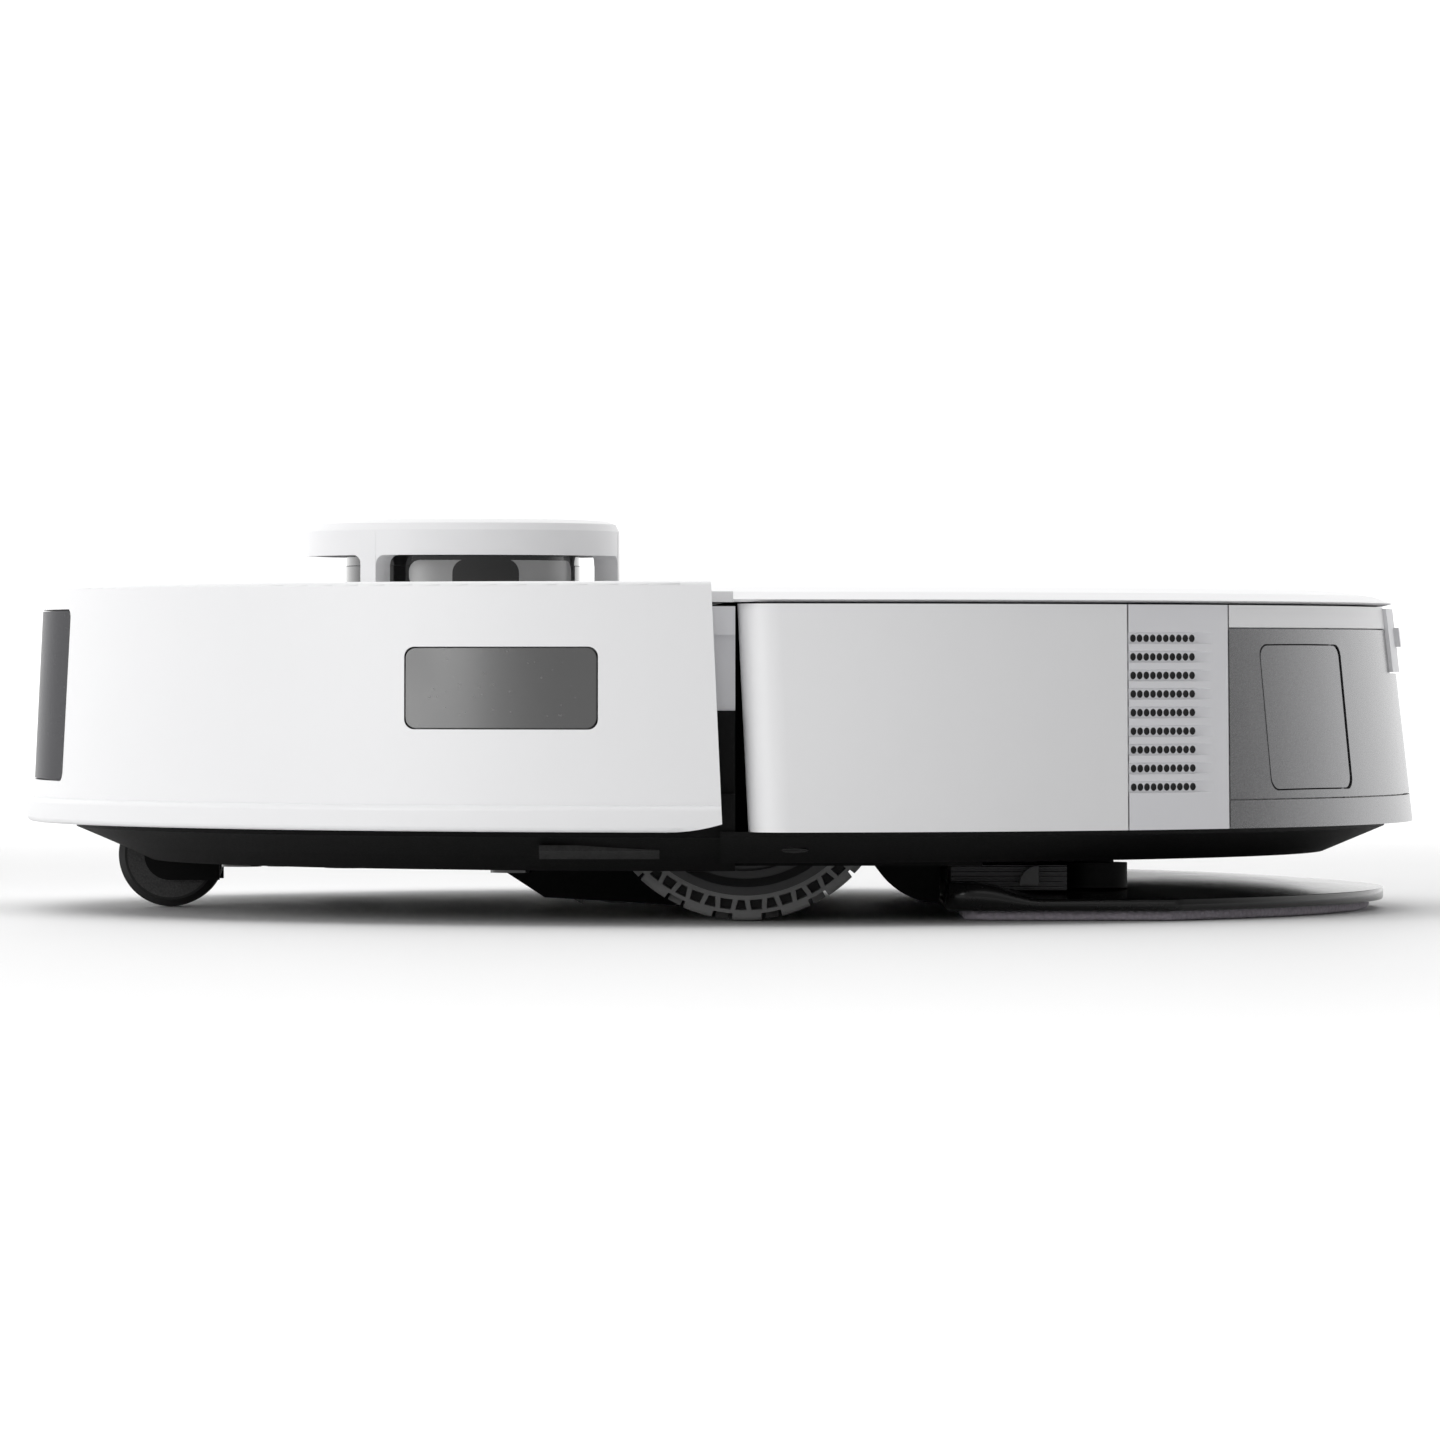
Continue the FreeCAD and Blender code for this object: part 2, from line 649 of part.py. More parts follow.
frontEnvelope = turned("FrontEnvelope", [
    (0, fg), (f"{body_r} - 31.5", fg), (f"{body_r} - 23.5", f"{fg} + 3.7"), (deck_r, f"{fg} + 8.4"),
    (deck_r, 40),
    (0, 40)])
casterCup = shared("CasterCup", frontEnvelope,
                   rod("CasterCupRound", "caster_well / 2 + 1.8", "Z", (f"{fg} + 1", 33), (0, caster_y)))
casterRoom = rod("CasterRoom", "caster_well / 2", "Z", (-5, 31), (0, caster_y))
casterBoss = rod("CasterBoss", 6, "Z", (32, 43), (0, caster_y))
casterBore = rod("CasterBore", 3.06, "Z", (25, 50), (0, caster_y))
mop_r = f"({body_r} - mop_inset)"
bayWalls = shared("BayWalls", rod("BayWallRound", f"{body_r} - 24.8", "Z", (f"{rg} + 1", 22.5)),
                  block("BayWallZone", ("-mop_half - 6", "mop_half + 6"), ("mop_front - 3.4", far), (0, 60)))
bayRoom = shared("BayRoom", rod("BayRound", f"{body_r} - 27", "Z", (-5, 20.3)),
                 block("BayZone", ("-mop_half - 4", "mop_half + 4"), ("mop_front - 0.8", far), (-5, 60)))
postHoles = [rod(f"PostHole{side}", 6.5, "Z", (5, 40), (f"{side} * post_x", "post_y")) for side in (-1, 1)]
sideBrushHole = rod("SideBrushHole", 3.5, "Z", (5, 30), ("side_brush_x", "side_brush_y"))
hinge_z = "(deck_height - cover_hinge_drop)"
hingeBeam = block("HingeBeam", (f"-{well_in}", well_in), ("cover_hinge_y - 2.2", "cover_hinge_y + 2.2"),
                  ("beam_low", "beam_low + 4"))
earSpan = ("cover_hinge_y - ear_dia / 2", "cover_hinge_y + ear_dia / 2")
hingeEars = []
for side in (-1, 1):
    for number, reach in enumerate(("-knuckle_half - moving_gap - ear_thick", "knuckle_half + moving_gap")):
        earEnds = (f"{side} * hinge_x + ({reach})", f"{side} * hinge_x + ({reach}) + ear_thick")
        hingeEars.append(block(f"HingeEar{side}{number}", earEnds, earSpan, ("beam_low + 1", hinge_z)))
        hingeEars.append(rod(f"HingeEarEnd{side}{number}", "ear_dia / 2", "X", earEnds,
                             ("cover_hinge_y", hinge_z)))
hingeBores = [rod(f"HingeBore{side}", "hinge_pin_dia / 2 + 0.02", "X",
                  (f"{side} * hinge_x - 20", f"{side} * hinge_x + 20"), ("cover_hinge_y", hinge_z))
              for side in (-1, 1)]
armBores = [rod(f"ArmBore{side}", 2.51, "X", (f"{side} * {well_in} - 15", f"{side} * {well_in} + 15"),
                ("arm_pivot_y", "arm_pivot_z")) for side in (-1, 1)]
sensorRoom = block("SensorRoom", (-26, 26), (f"-{far}", f"-{deck_r} + 12"), (43, 64))
chassisSolid = fused("ChassisSolid", tubFront, cut("TubRearClear", tubRear, *curlRoom), wellWalls,
                     mirrored("WellWallsRight", wellWalls), tunnelWalls, ductWalls, casterCup, casterBoss,
                     bayWalls, hingeBeam, *hingeEars)
chassisRooms = [wellRoom, mirrored("WellRoomRight", wellRoom), armRoom, mirrored("ArmRoomRight", armRoom),
                tunnelRound, tunnelMouth, ductRoom, shaftHoles, casterRoom, casterBore, bayRoom,
                *postHoles, sideBrushHole, *hingeBores, *armBores, sensorRoom]
node("base_chassis", cut("Chassis", chassisSolid, *chassisRooms))

frameLow = turned("MidFrameLow", [
    (f"{deck_r} - side_wall", dark_top), (f"{deck_r} - 0.5", dark_top),
    (f"{deck_r} - 0.5", "deck_height - 13.4"),
    (f"{deck_r} - side_wall", "deck_height - 13.4")])
frameHigh = turned("MidFrameHigh", [
    (f"{deck_r} - side_wall", "deck_height - 13.4"), (f"{deck_r} + 1", "deck_height - 13.4"),
    (f"{deck_r} + 1", "deck_height - 6.6"), (f"{deck_r} - side_wall", "deck_height - 6.6")])
midLow = shared("MidLow", frameLow, block("MidLowZone", (f"-{far}", far), (f"-{far}", tub_split), (0, 120)))
midHigh = shared("MidHigh", frameHigh,
                 block("MidHighZone", (f"-{far}", far), ("cover_hinge_y + 3", tub_split), (0, 120)))
node("mid_frame", cut("MidFrame", fused("MidParts", midLow, midHigh), sensorRoom))

deck_rear = "(cover_front - 2.1)"
deckPlate = turned("DeckPlate", [
    (0, "deck_height - 4"), (f"{deck_r} - side_wall", "deck_height - 4"),
    (f"{deck_r} - side_wall", "deck_height - 13.4"), (deck_r, "deck_height - 13.4"),
    (deck_r, "deck_height - 1.5"), (0, "deck_height - 1.5")])
deckRim = rounded("DeckRim", deckPlate, "edge_round",
                  lambda edge: edge.Curve.TypeId == "Part::GeomCircle"
                  and abs(edge.BoundBox.ZMax - value("deck_height - 1.5")) < 0.01)
deckTrim = block("DeckTrim", (f"-{far}", far), (deck_rear, far), (0, 120))
rotorHole = rod("RotorHole", "rotor_dia / 2 + 1", "Z", (0, 120), (0, "turret_y"))
legAngles = [value("leg_first_angle") + 120 * turn for turn in range(3)]


def legBlock(name, angle, grow, low, high):
    """A turret leg's box, set at its angle round the turret."""
    leg = doc.addObject("Part::Box", name)
    bind(leg, Length=f"leg_radial + 2 * {grow}", Width=f"leg_tangential + 2 * {grow}",
         Height=f"({high}) - ({low})")
    leg.Placement.Rotation = Rotation(Vector(0, 0, 1), angle)
    across = f"(turret_dia / 2 - leg_radial - {grow})"
    aside = f"(leg_tangential / 2 + {grow})"
    east = math.cos(math.radians(angle))
    north = math.sin(math.radians(angle))
    return place(leg, f"{across} * {east} + {aside} * {north}",
                 f"turret_y + {across} * {north} - {aside} * {east}", low)


legHoles = [legBlock(f"LegHole{number}", angle, "moving_gap", 60, 100) for number,
            angle in enumerate(legAngles)]
buttonHole = rod("ButtonHole", "button_dia / 2 + 0.3", "Z", (0, 120), (0, "button_y"))
node("front_deck", cut("FrontDeck", deckRim, deckTrim, rotorHole, buttonHole, *legHoles))

button = fused("ButtonSolid",
               rod("ButtonCap", "button_dia / 2", "Z", ("deck_height - 4", "deck_height - 1"),
                   (0, "button_y")),
               rod("ButtonStem", 3, "Z", ("deck_height - 9", "deck_height - 3.9"), (0, "button_y")))
node("power_button", button)


# ---- Turret

cap_low = "(deck_height + turret_lift)"
cap_top = "(deck_height + turret_lift + turret_cap_high)"
capTurned = turned("CapTurned", [
    (0, f"{cap_top} - 2.8"), ("turret_dia / 2 - 2.6", f"{cap_top} - 3.4"), ("turret_dia / 2 - 2.6", cap_low),
    ("turret_dia / 2", cap_low), ("turret_dia / 2", f"{cap_top} - 3.2"),
    ("turret_dia / 2 - 0.9", f"{cap_top} - 1.4"),
    ("turret_dia / 2 - 3.2", f"{cap_top} - 0.5"), ("turret_dia / 2 - 12", cap_top), (0, cap_top)],
    at=(0, "turret_y", 0))
legs = [legBlock(f"Leg{number}", angle, 0, "deck_height - 4.5", f"{cap_top} - 3.6")
        for number, angle in enumerate(legAngles)]


def legFillets(number, angle):
    """The concave fillets where a leg meets the cap: a wide block less a rod on either side of the leg."""
    wide = legBlock(f"LegRoot{number}", angle, "leg_fillet", f"{cap_low} - leg_fillet", f"{cap_low} + 0.5")
    slim = shared(f"LegRootSlim{number}", wide, capReach)
    scoops = []
    for side in (-1, 1):
        scoop = doc.addObject("Part::Cylinder", f"LegScoop{number}{side}")
        bind(scoop, Radius="leg_fillet", Height="leg_radial + 8 * leg_fillet")
        scoop.Placement.Rotation = Rotation(Vector(0, 0, 1), angle).multiply(along["X"])
        east = math.cos(math.radians(angle))
        north = math.sin(math.radians(angle))
        across = "(turret_dia / 2 - leg_radial - 4 * leg_fillet)"
        aside = f"({side} * (leg_tangential / 2 + leg_fillet))"
        place(scoop, f"{across} * {east} - {aside} * {north}",
              f"turret_y + {across} * {north} + {aside} * {east}",
              f"{cap_low} - leg_fillet")
        scoops.append(scoop)
    return cut(f"LegFillets{number}", slim, *scoops)


capReach = cut("CapReach",
               rod("CapReachOut", "turret_dia / 2 - 0.05", "Z", (f"{cap_low} - 5", cap_top), (0, "turret_y")),
               rod("CapReachIn", "turret_dia / 2 - leg_radial", "Z", (f"{cap_low} - 6", f"{cap_top} + 1"),
                   (0, "turret_y")))
fillets = [legFillets(number, angle) for number, angle in enumerate(legAngles)]
node("turret_cap", fused("TurretCap", capTurned, *legs, *fillets))
springSpots = [(37 * math.cos(math.radians(angle)),
                37 * math.sin(math.radians(angle))) for angle in legAngles]
springs = []
for number, (east, north) in enumerate(springSpots):
    spot = (east, f"turret_y + {north}")
    springs.append(cut(f"TurretSpring{number}",
                       rod(f"SpringOut{number}", 2.2, "Z", ("deck_height - 12.5", "deck_height - 4.5"), spot),
                       rod(f"SpringIn{number}", 1.6, "Z", ("deck_height - 13", "deck_height - 4"), spot)))
node("turret_springs", fused("TurretSprings", *springs))

rotor = turned("Rotor", [
    (0, "deck_height - 18"), (4, "deck_height - 18"), (4, "deck_height - 10"),
    ("big_pulley_dia / 2", "deck_height - 10"), ("big_pulley_dia / 2", "deck_height - 5"),
    ("rotor_dia / 2 - 4", "deck_height - 5"), ("rotor_dia / 2", "deck_height - 3.4"),
    ("rotor_dia / 2", "deck_height + 4.6"), ("rotor_dia / 2 - 1.2", "deck_height + 6"),
    (0, "deck_height + 6")],
    at=(0, "turret_y", 0))
node("turret_rotor", rotor)
motorSpot = (0, "turret_y - belt_reach")
turretBase = cut("TurretBase",
                 fused("TurretBaseSolid",
                       rod("BasePlate", "turret_dia / 2 + 2", "Z", ("deck_height - 16", "deck_height - 12.5"),
                           (0, "turret_y")),
                       rod("BaseBoss", 8, "Z", ("deck_height - 22", "deck_height - 15"), (0, "turret_y")),
                       block("BaseArm", (-15, 15), ("turret_y - belt_reach - 12", "turret_y"),
                             ("deck_height - 16", "deck_height - 12.5"))),
                 rod("BaseBore", 4.06, "Z", (0, 120), (0, "turret_y")),
                 rod("MotorHole", 3, "Z", (0, 120), motorSpot))
node("turret_base", turretBase)
node("turret_motor", rod("TurretMotor", 11, "Z", ("deck_height - 34", "deck_height - 16"), motorSpot))
node("turret_pulley", fused("TurretPulley",
                            rod("PulleyWheel", "small_pulley_dia / 2", "Z",
                                ("deck_height - 10", "deck_height - 5"),
                                motorSpot),
                            rod("PulleyShaft", 1, "Z", ("deck_height - 15.9", "deck_height - 9"), motorSpot)))


def beltFace(gap):
    """The loop round both pulleys at a gap from them: two arcs joined by their outer tangents."""
    big = value("big_pulley_dia / 2") + gap
    small = value("small_pulley_dia / 2") + gap
    reach = value("belt_reach")
    start = value("turret_y")
    lean = math.acos((big - small) / reach)

    def spot(radius, angle, centre):
        return Vector(radius * math.sin(angle), centre - radius * math.cos(angle), 0)

    bigArc = Part.Arc(spot(big, lean, start), spot(big, math.pi, start), spot(big, -lean, start))
    smallArc = Part.Arc(spot(small, -lean, start - reach), spot(small, 0, start - reach),
                        spot(small, lean, start - reach))
    sides = [Part.LineSegment(spot(big, -lean, start), spot(small, -lean, start - reach)),
             Part.LineSegment(spot(small, lean, start - reach), spot(big, lean, start))]
    edges = [bigArc.toShape(), sides[0].toShape(), smallArc.toShape(), sides[1].toShape()]
    return Part.Face(Part.Wire(edges))


belt = doc.addObject("Part::Feature", "TurretBelt")
beltLoop = beltFace(0.4 + value("belt_thick")).cut(beltFace(0.4))
belt.Shape = beltLoop.extrude(Vector(0, 0, 3.6))
place(belt, 0, 0, "deck_height - 9.3")
node("turret_belt", belt)


# ---- Cover

dh = "deck_height"
coverTurned = turned("CoverTurned", [
    (0, f"{dh} - cover_thick"), (f"{body_r} - 51.5", f"{dh} - 0.4 - cover_thick"),
    (f"{body_r} - 29.5", f"{dh} - 1.3 - cover_thick"), (f"{body_r} - 15.5", f"{dh} - 1.9 - cover_thick"),
    (f"{body_r} - 13.5", f"{dh} - 5.6"), (f"{body_r} - 7.5", f"{dh} - 5.6"), (f"{body_r} - 5", f"{dh} - 5"),
    (f"{body_r} - 10.2", f"{dh} - 3.2"), (f"{body_r} - 18.5", f"{dh} - 2"),
    (f"{body_r} - 29.5", f"{dh} - 1.3"),
    (f"{body_r} - 51.5", f"{dh} - 0.4"), (f"{body_r} - 86.5", dh), (0, dh)])
coverTrim = block("CoverTrim", (f"-{far}", far), (f"-{far}", "cover_front"), (0, 120))
coverSides = cut("CoverSides", rod("CoverSideRound", far, "Z", (40, 120)),
                 rod("CoverSideCore", f"{deck_r} + 1.6", "Z", (40, 120)),
                 block("CoverSideKeep", (f"-{far}", far), ("rear_front_high - 1", f"{far} + 1"), (30, 121)))
knuckleSpans = {side: (f"{side} * hinge_x - knuckle_half",
                       f"{side} * hinge_x + knuckle_half") for side in (-1, 1)}
knuckles = [rod(f"Knuckle{side}", "knuckle_dia / 2", "X", span, ("cover_hinge_y", hinge_z))
            for side, span in knuckleSpans.items()]
knuckleWebs = [block(f"KnuckleWeb{side}", span, ("cover_hinge_y - 1.2", "cover_hinge_y + 1.2"),
                     (hinge_z, f"{dh} - 2"))
               for side, span in knuckleSpans.items()]
coverBores = [rod(f"CoverBore{side}", "hinge_pin_dia / 2 + 0.06", "X",
                  (f"{side} * hinge_x - 30", f"{side} * hinge_x + 30"), ("cover_hinge_y", hinge_z))
              for side in (-1, 1)]
coverPlate = cut("CoverPlate", coverTurned, coverTrim, coverSides)
node("top_cover", cut("TopCover", fused("CoverSolid", coverPlate, *knuckles, *knuckleWebs), *coverBores))
hingePins = [rod(f"HingePin{side}", "hinge_pin_dia / 2", "X",
                 (f"{side} * hinge_x - hinge_pin_half", f"{side} * hinge_x + hinge_pin_half"),
                 ("cover_hinge_y", hinge_z)) for side in (-1, 1)]
node("cover_hinge_pins", fused("CoverHingePins", *hingePins))


# ---- Drive wheels

hub_r = f"({wheel_r} - tyre_thick)"
wheel_in = "(wheel_face - wheel_wide)"
wheelTurn = along["X"]
tyreLeft = turned("TyreLeft", [
    (hub_r, wheel_in), (f"{wheel_r} - 1.2", wheel_in), (wheel_r, f"{wheel_in} + 2"),
    (wheel_r, "wheel_face - 2"),
    (f"{wheel_r} - 1.2", "wheel_face"), (hub_r, "wheel_face")], at=(0, "wheel_axle_y", wheel_r),
                  turn=wheelTurn)
hubLeft = turned("HubLeft", [
    (0, f"{wheel_in} + 6"), (5, f"{wheel_in} + 6"), (5, f"{wheel_in} + 2"),
    (f"{hub_r} - 3", f"{wheel_in} + 2"),
    (f"{hub_r} - 3", wheel_in), (hub_r, wheel_in), (hub_r, "wheel_face"), (f"{hub_r} - 2", "wheel_face"),
    (f"{hub_r} - 4", "wheel_face - 3"), (12, "wheel_face - 3"), (10, "wheel_face - 1.5"),
    (0, "wheel_face - 1.5")],
    at=(0, "wheel_axle_y", wheel_r), turn=wheelTurn)
arm_in = f"({wheel_in} - arm_thick - 1.2)"
arm_out = f"({wheel_in} - 1.2)"
armLeft = fused("ArmLeft",
                rod("ArmPivotEnd", 10, "X", (arm_in, arm_out), ("arm_pivot_y", "arm_pivot_z")),
                rod("ArmWheelEnd", f"{hub_r} - 6", "X", (arm_in, arm_out), ("wheel_axle_y", wheel_r)),
                block("ArmBar", (arm_in, arm_out), ("wheel_axle_y", "arm_pivot_y"),
                      ("arm_pivot_z - 10", "arm_pivot_z + 10")),
                rod("ArmStub", 2.45, "X", (f"{well_in} - 2", arm_in), ("arm_pivot_y", "arm_pivot_z")),
                rod("WheelStub", 4.5, "X", (arm_out, f"{wheel_in} + 1.4"), ("wheel_axle_y", wheel_r)))
for side in ("left", "right"):
    for label, source in (("drive_arm", armLeft), ("drive_tyre", tyreLeft), ("drive_hub", hubLeft)):
        piece = source if side == "left" else mirrored(source.Name + "Mirror", source)
        node(f"{label}_{side}", piece)


# ---- Caster

caster_r = "(caster_dia / 2)"
caster_rim = f"({caster_r} - caster_tyre_thick)"
node("caster_tyre", turned("CasterTyre", [
    (caster_rim, "-caster_wide / 2"), (f"{caster_rim} + 0.6", "-caster_wide / 2"),
    (caster_r, "-caster_wide / 2 + 2"),
    (caster_r, "caster_wide / 2 - 2"), (f"{caster_rim} + 0.6", "caster_wide / 2"),
    (caster_rim, "caster_wide / 2")],
    at=(0, caster_axle_y, caster_r), turn=wheelTurn))
casterDisc = rod("CasterDisc", caster_rim, "X", ("-caster_wide / 2", "caster_wide / 2"),
                 (caster_axle_y, caster_r))
node("caster_wheel", cut("CasterWheel", casterDisc,
                         rod("CasterWheelBore", 1.56, "X", (-20, 20), (caster_axle_y, caster_r))))
forkTop = rod("ForkTop", 14.5, "Z", (27.6, 30.2), (0, caster_y))
forkCheeks = []
for side in (-1, 1):
    cheekSpan = (f"{side} * 8.9 - fork_cheek_thick / 2", f"{side} * 8.9 + fork_cheek_thick / 2")
    forkCheeks.append(rod(f"ForkCheekEye{side}", "fork_cheek_dia / 2", "X", cheekSpan,
                          (caster_axle_y, caster_r)))
    forkCheeks.append(block(f"ForkCheek{side}", cheekSpan, (caster_axle_y, f"{caster_y} + fork_tail"),
                            (f"{caster_r} - fork_cheek_dia / 2", 28)))
forkStem = rod("ForkStem", 3, "Z", (30, 41), (0, caster_y))
forkBore = rod("ForkBore", 1.5, "X", (-20, 20), (caster_axle_y, caster_r))
node("caster_fork", cut("CasterFork", fused("ForkSolid", forkTop, forkStem, *forkCheeks), forkBore))
node("caster_axle", rod("CasterAxle", 1.5, "X", (-9.8, 9.8), (caster_axle_y, caster_r)))


# ---- Roller, its guard and its motor

rollerAt = ("roller_y", "roller_z")
node("roller_core", fused("RollerCore",
                          rod("RollerShaft", 3, "X", ("-roller_half - 3.8", "roller_half + 8"), rollerAt),
                          rod("RollerTube", "roller_dia / 2 - 9", "X", ("-roller_half", "roller_half"),
                              rollerAt)))
fins = []
finCount = 6
for number in range(finCount):
    fin = doc.addObject("Part::Box", f"RollerFin{number}")
    bind(fin, Length="2 * roller_half - 2", Width=2, Height="9.5")
    turn = Rotation(Vector(1, 0, 0), 360 / finCount * number)
    fin.Placement.Rotation = turn
    reach = turn.multVec(Vector(0, -1, 0))
    rise = turn.multVec(Vector(0, 0, 1))
    place(fin, "-roller_half + 1", f"roller_y + {reach.y} + {rise.y} * (roller_dia / 2 - 9.5)",
          f"roller_z + {reach.z} + {rise.z} * (roller_dia / 2 - 9.5)")
    fins.append(fin)
finRound = rod("FinRound", "roller_dia / 2", "X", ("-roller_half - 1", "roller_half + 1"), rollerAt)
finCore = rod("FinCore", "roller_dia / 2 - 9", "X", ("-roller_half - 1", "roller_half + 1"), rollerAt)
node("roller_fins", cut("RollerFins", shared("FinsTrimmed", fused("FinSolid", *fins), finRound), finCore))
guardProfile = padded("GuardProfile", "YZ_Plane", [
    (-53, fg), (-53, 11), (-43, 4.5), (-9.7, 2.6), (-3, 9), (-3, fg)], "2 * guard_half")
guardMouth = block("GuardMouth", ("-roller_half - 1", "roller_half + 1"),
                   ("roller_y - roller_dia / 2 + 1", "roller_y + roller_dia / 2 - 3"), (-5, 30))
guardRound = rod("GuardRound", "roller_dia / 2 + 1", "X", ("-roller_half - 1", "roller_half + 1"), rollerAt)
node("roller_guard", cut("RollerGuard", guardProfile, guardMouth, guardRound))
rollerMotor = cut("RollerMotor",
                  fused("RollerMotorSolid",
                        block("RollerGearbox", ("roller_half + 4", f"{well_in} - 2"), (-76, -16), (17, 42)),
                        rod("RollerMotorCan", 10.5, "X", (30, "roller_half + 5"), (-65, 30))),
                  rod("RollerSocket", 3.05, "X", (60, "roller_half + 8.2"), rollerAt))
node("roller_motor", rollerMotor)


# ---- Side brush

sideSpot = ("side_brush_x", "side_brush_y")
brushHub = fused("SideBrushHubSolid", rod("SideBrushDisc", 8, "Z", (7.2, 11.6), sideSpot),
                 rod("SideBrushShaft", 2.5, "Z", (11, 24), sideSpot))
node("side_brush_hub", brushHub)
tufts = []
for number, sign in enumerate((-1, 1)):
    inner = f"side_brush_y + {sign} * 7.9"
    outer = f"side_brush_y + {sign} * side_brush_reach"
    span = (inner, outer) if sign > 0 else (outer, inner)
    tufts.append(block(f"Tuft{number}", ("side_brush_x - 1.8", "side_brush_x + 1.8"), span, (7.6, 9.4)))
node("side_brush_bristles", cut("SideBrushBristles", fused("Tufts", *tufts), brushHub))
node("side_brush_motor",
     cut("SideBrushMotor", rod("SideMotorCan", 11, "Z", (f"{fg} + side_wall", 40), sideSpot),
                             rod("SideMotorBore", 2.56, "Z", (5, 24.5), sideSpot), parts["base_chassis"]))


# ---- Mop

mopTurned = turned("MopTurned", [
    (0, "mop_pad_thick"), (mop_r, "mop_pad_thick"), (mop_r, "mop_pad_thick + 3.1"),
    (f"{mop_r} - 14", "mop_pad_thick + 5"), (0, "mop_pad_thick + 5.3")])
mopZone = block("MopZone", ("-mop_half", "mop_half"), ("mop_front", far), (0, 60))
mopLip = block("MopLip", ("-mop_half", "mop_half"), ("mop_front", "mop_front + 8"),
               ("mop_pad_thick", "mop_pad_thick + 7"))
postAt = [(f"{side} * post_x", "post_y") for side in (-1, 1)]
node("mop_plate", fused("MopPlate", shared("MopDisc", mopTurned, mopZone), mopLip))
posts = []
for number, spot in enumerate(postAt):
    posts.append(rod(f"PostFoot{number}", "post_dia / 2", "Z", ("mop_pad_thick + 4", "post_foot_high"), spot))
    posts.append(rod(f"PostStem{number}", "post_stem_dia / 2", "Z", ("post_foot_high - 0.1", 45), spot))
postBase = fused("PostBase", *posts)
mopSolid = parts["mop_plate"]
node("mop_lift_posts", cut("MopLiftPosts", postBase, mopSolid))
node("mop_pad", shared("MopPad", rod("PadRound", f"{mop_r} - 4", "Z", (0, "mop_pad_thick")),
                       block("PadZone", ("-mop_half + 4", "mop_half - 4"), ("mop_front + 4.2", far),
                             (-1, 20))))
lifts = []
for number, spot in enumerate(postAt):
    lifts.append(cut(f"LiftHousing{number}", rod(f"LiftCan{number}", 10, "Z", (22.5, 56), spot),
                     rod(f"LiftBore{number}", "post_stem_dia / 2 + 0.06", "Z", (10, 53.5), spot)))
node("mop_lift_housings", fused("MopLiftHousings", *lifts))
nose = shared("NoseSolid",
              rod("NoseRound", "nose_dia / 2", "X", ("-nose_half", "nose_half"), ("nose_y", "nose_z")),
              block("NoseZone", ("-nose_half", "nose_half"), (37, "mop_front - 0.9"), (0, rg)))
node("mop_nose_fairing", cut("NoseFairing", nose, parts["base_chassis"]))


# ---- Insides

binOuter = block("BinOuter", ("bin_split", "bin_half"), ("bin_front", "bin_rear"),
                 ("bin_low", f"{shell_top} - 2"))
binInner = block("BinInner", ("bin_split + bin_wall", "bin_half - bin_wall"),
                 ("bin_front + bin_wall", "bin_rear - bin_wall"),
                 ("bin_low + bin_wall", f"{shell_top} - 2 - bin_wall"))
spoutOuter = doorBlock("SpoutOuter", (-15, 15), (-14, 14), (-44, -7))
spoutInner = doorBlock("SpoutInner", (-13.5, 13.5), (-12.5, 12.5), (-52, -5))
binInlet = block("BinInlet", (-15, 30), (0, "bin_front + 5"), ("roller_z + 7", "roller_z + 22"))
node("dust_bin", cut("DustBin", fused("BinSolid", binOuter, spoutOuter), binInner, spoutInner, binInlet))
node("bin_filter",
     block("BinFilter", ("bin_split + bin_wall", 30), ("bin_rear - bin_wall - 8", "bin_rear - bin_wall"),
                         ("bin_low + bin_wall", f"{shell_top} - 2 - bin_wall")))
tankOuter = block("TankOuter", ("-bin_half", "bin_split - 1"), ("bin_front", "bin_rear"),
                  ("bin_low", f"{shell_top} - 2"))
tankInner = block("TankInner", ("-bin_half + bin_wall", "bin_split - 1 - bin_wall"),
                  ("bin_front + bin_wall", "bin_rear - bin_wall"),
                  ("bin_low + bin_wall", f"{shell_top} - 2 - bin_wall"))
node("water_tank", cut("WaterTank", tankOuter, tankInner))
fanSpot = ("fan_x", "fan_y")
fanShell = cut("FanShell", rod("FanOut", "fan_dia / 2", "Z", ("fan_low", "fan_high"), fanSpot),
               rod("FanIn", "fan_dia / 2 - 1.5", "Z", ("fan_low + 4", "fan_high - 2"), fanSpot),
               rod("FanIntake", 11, "Z", ("fan_high - 6", "fan_high + 4"), fanSpot),
               rod("FanBore", 2.06, "Z", ("fan_low - 6", "fan_low + 6"), fanSpot),
               block("FanOutlet", ("fan_x", 60), ("fan_y - 6", "fan_y + 6"), ("fan_low + 8", "fan_high - 6")))
node("fan_housing", fanShell)
blades = [fused("ImpellerHub",
                rod("ImpellerDisc", "fan_dia / 2 - 3", "Z", ("fan_low + 5", "fan_low + 7"), fanSpot),
                rod("ImpellerCore", 7, "Z", ("fan_low + 6", "fan_low + 20"), fanSpot),
                rod("ImpellerShaft", 2, "Z", ("fan_low + 0.5", "fan_low + 6"), fanSpot))]
bladeCount = 9
for number in range(bladeCount):
    blade = doc.addObject("Part::Box", f"Blade{number}")
    bind(blade, Length="fan_dia / 2 - 9.5", Width=1, Height=14)
    angle = 360 / bladeCount * number
    blade.Placement.Rotation = Rotation(Vector(0, 0, 1), angle)
    place(blade, f"fan_x + 6 * {math.cos(math.radians(angle))}",
          f"fan_y + 6 * {math.sin(math.radians(angle))}",
          "fan_low + 6")
    blades.append(blade)
node("fan_impeller", fused("FanImpeller", *blades))
floor_top = f"({fg} + side_wall)"
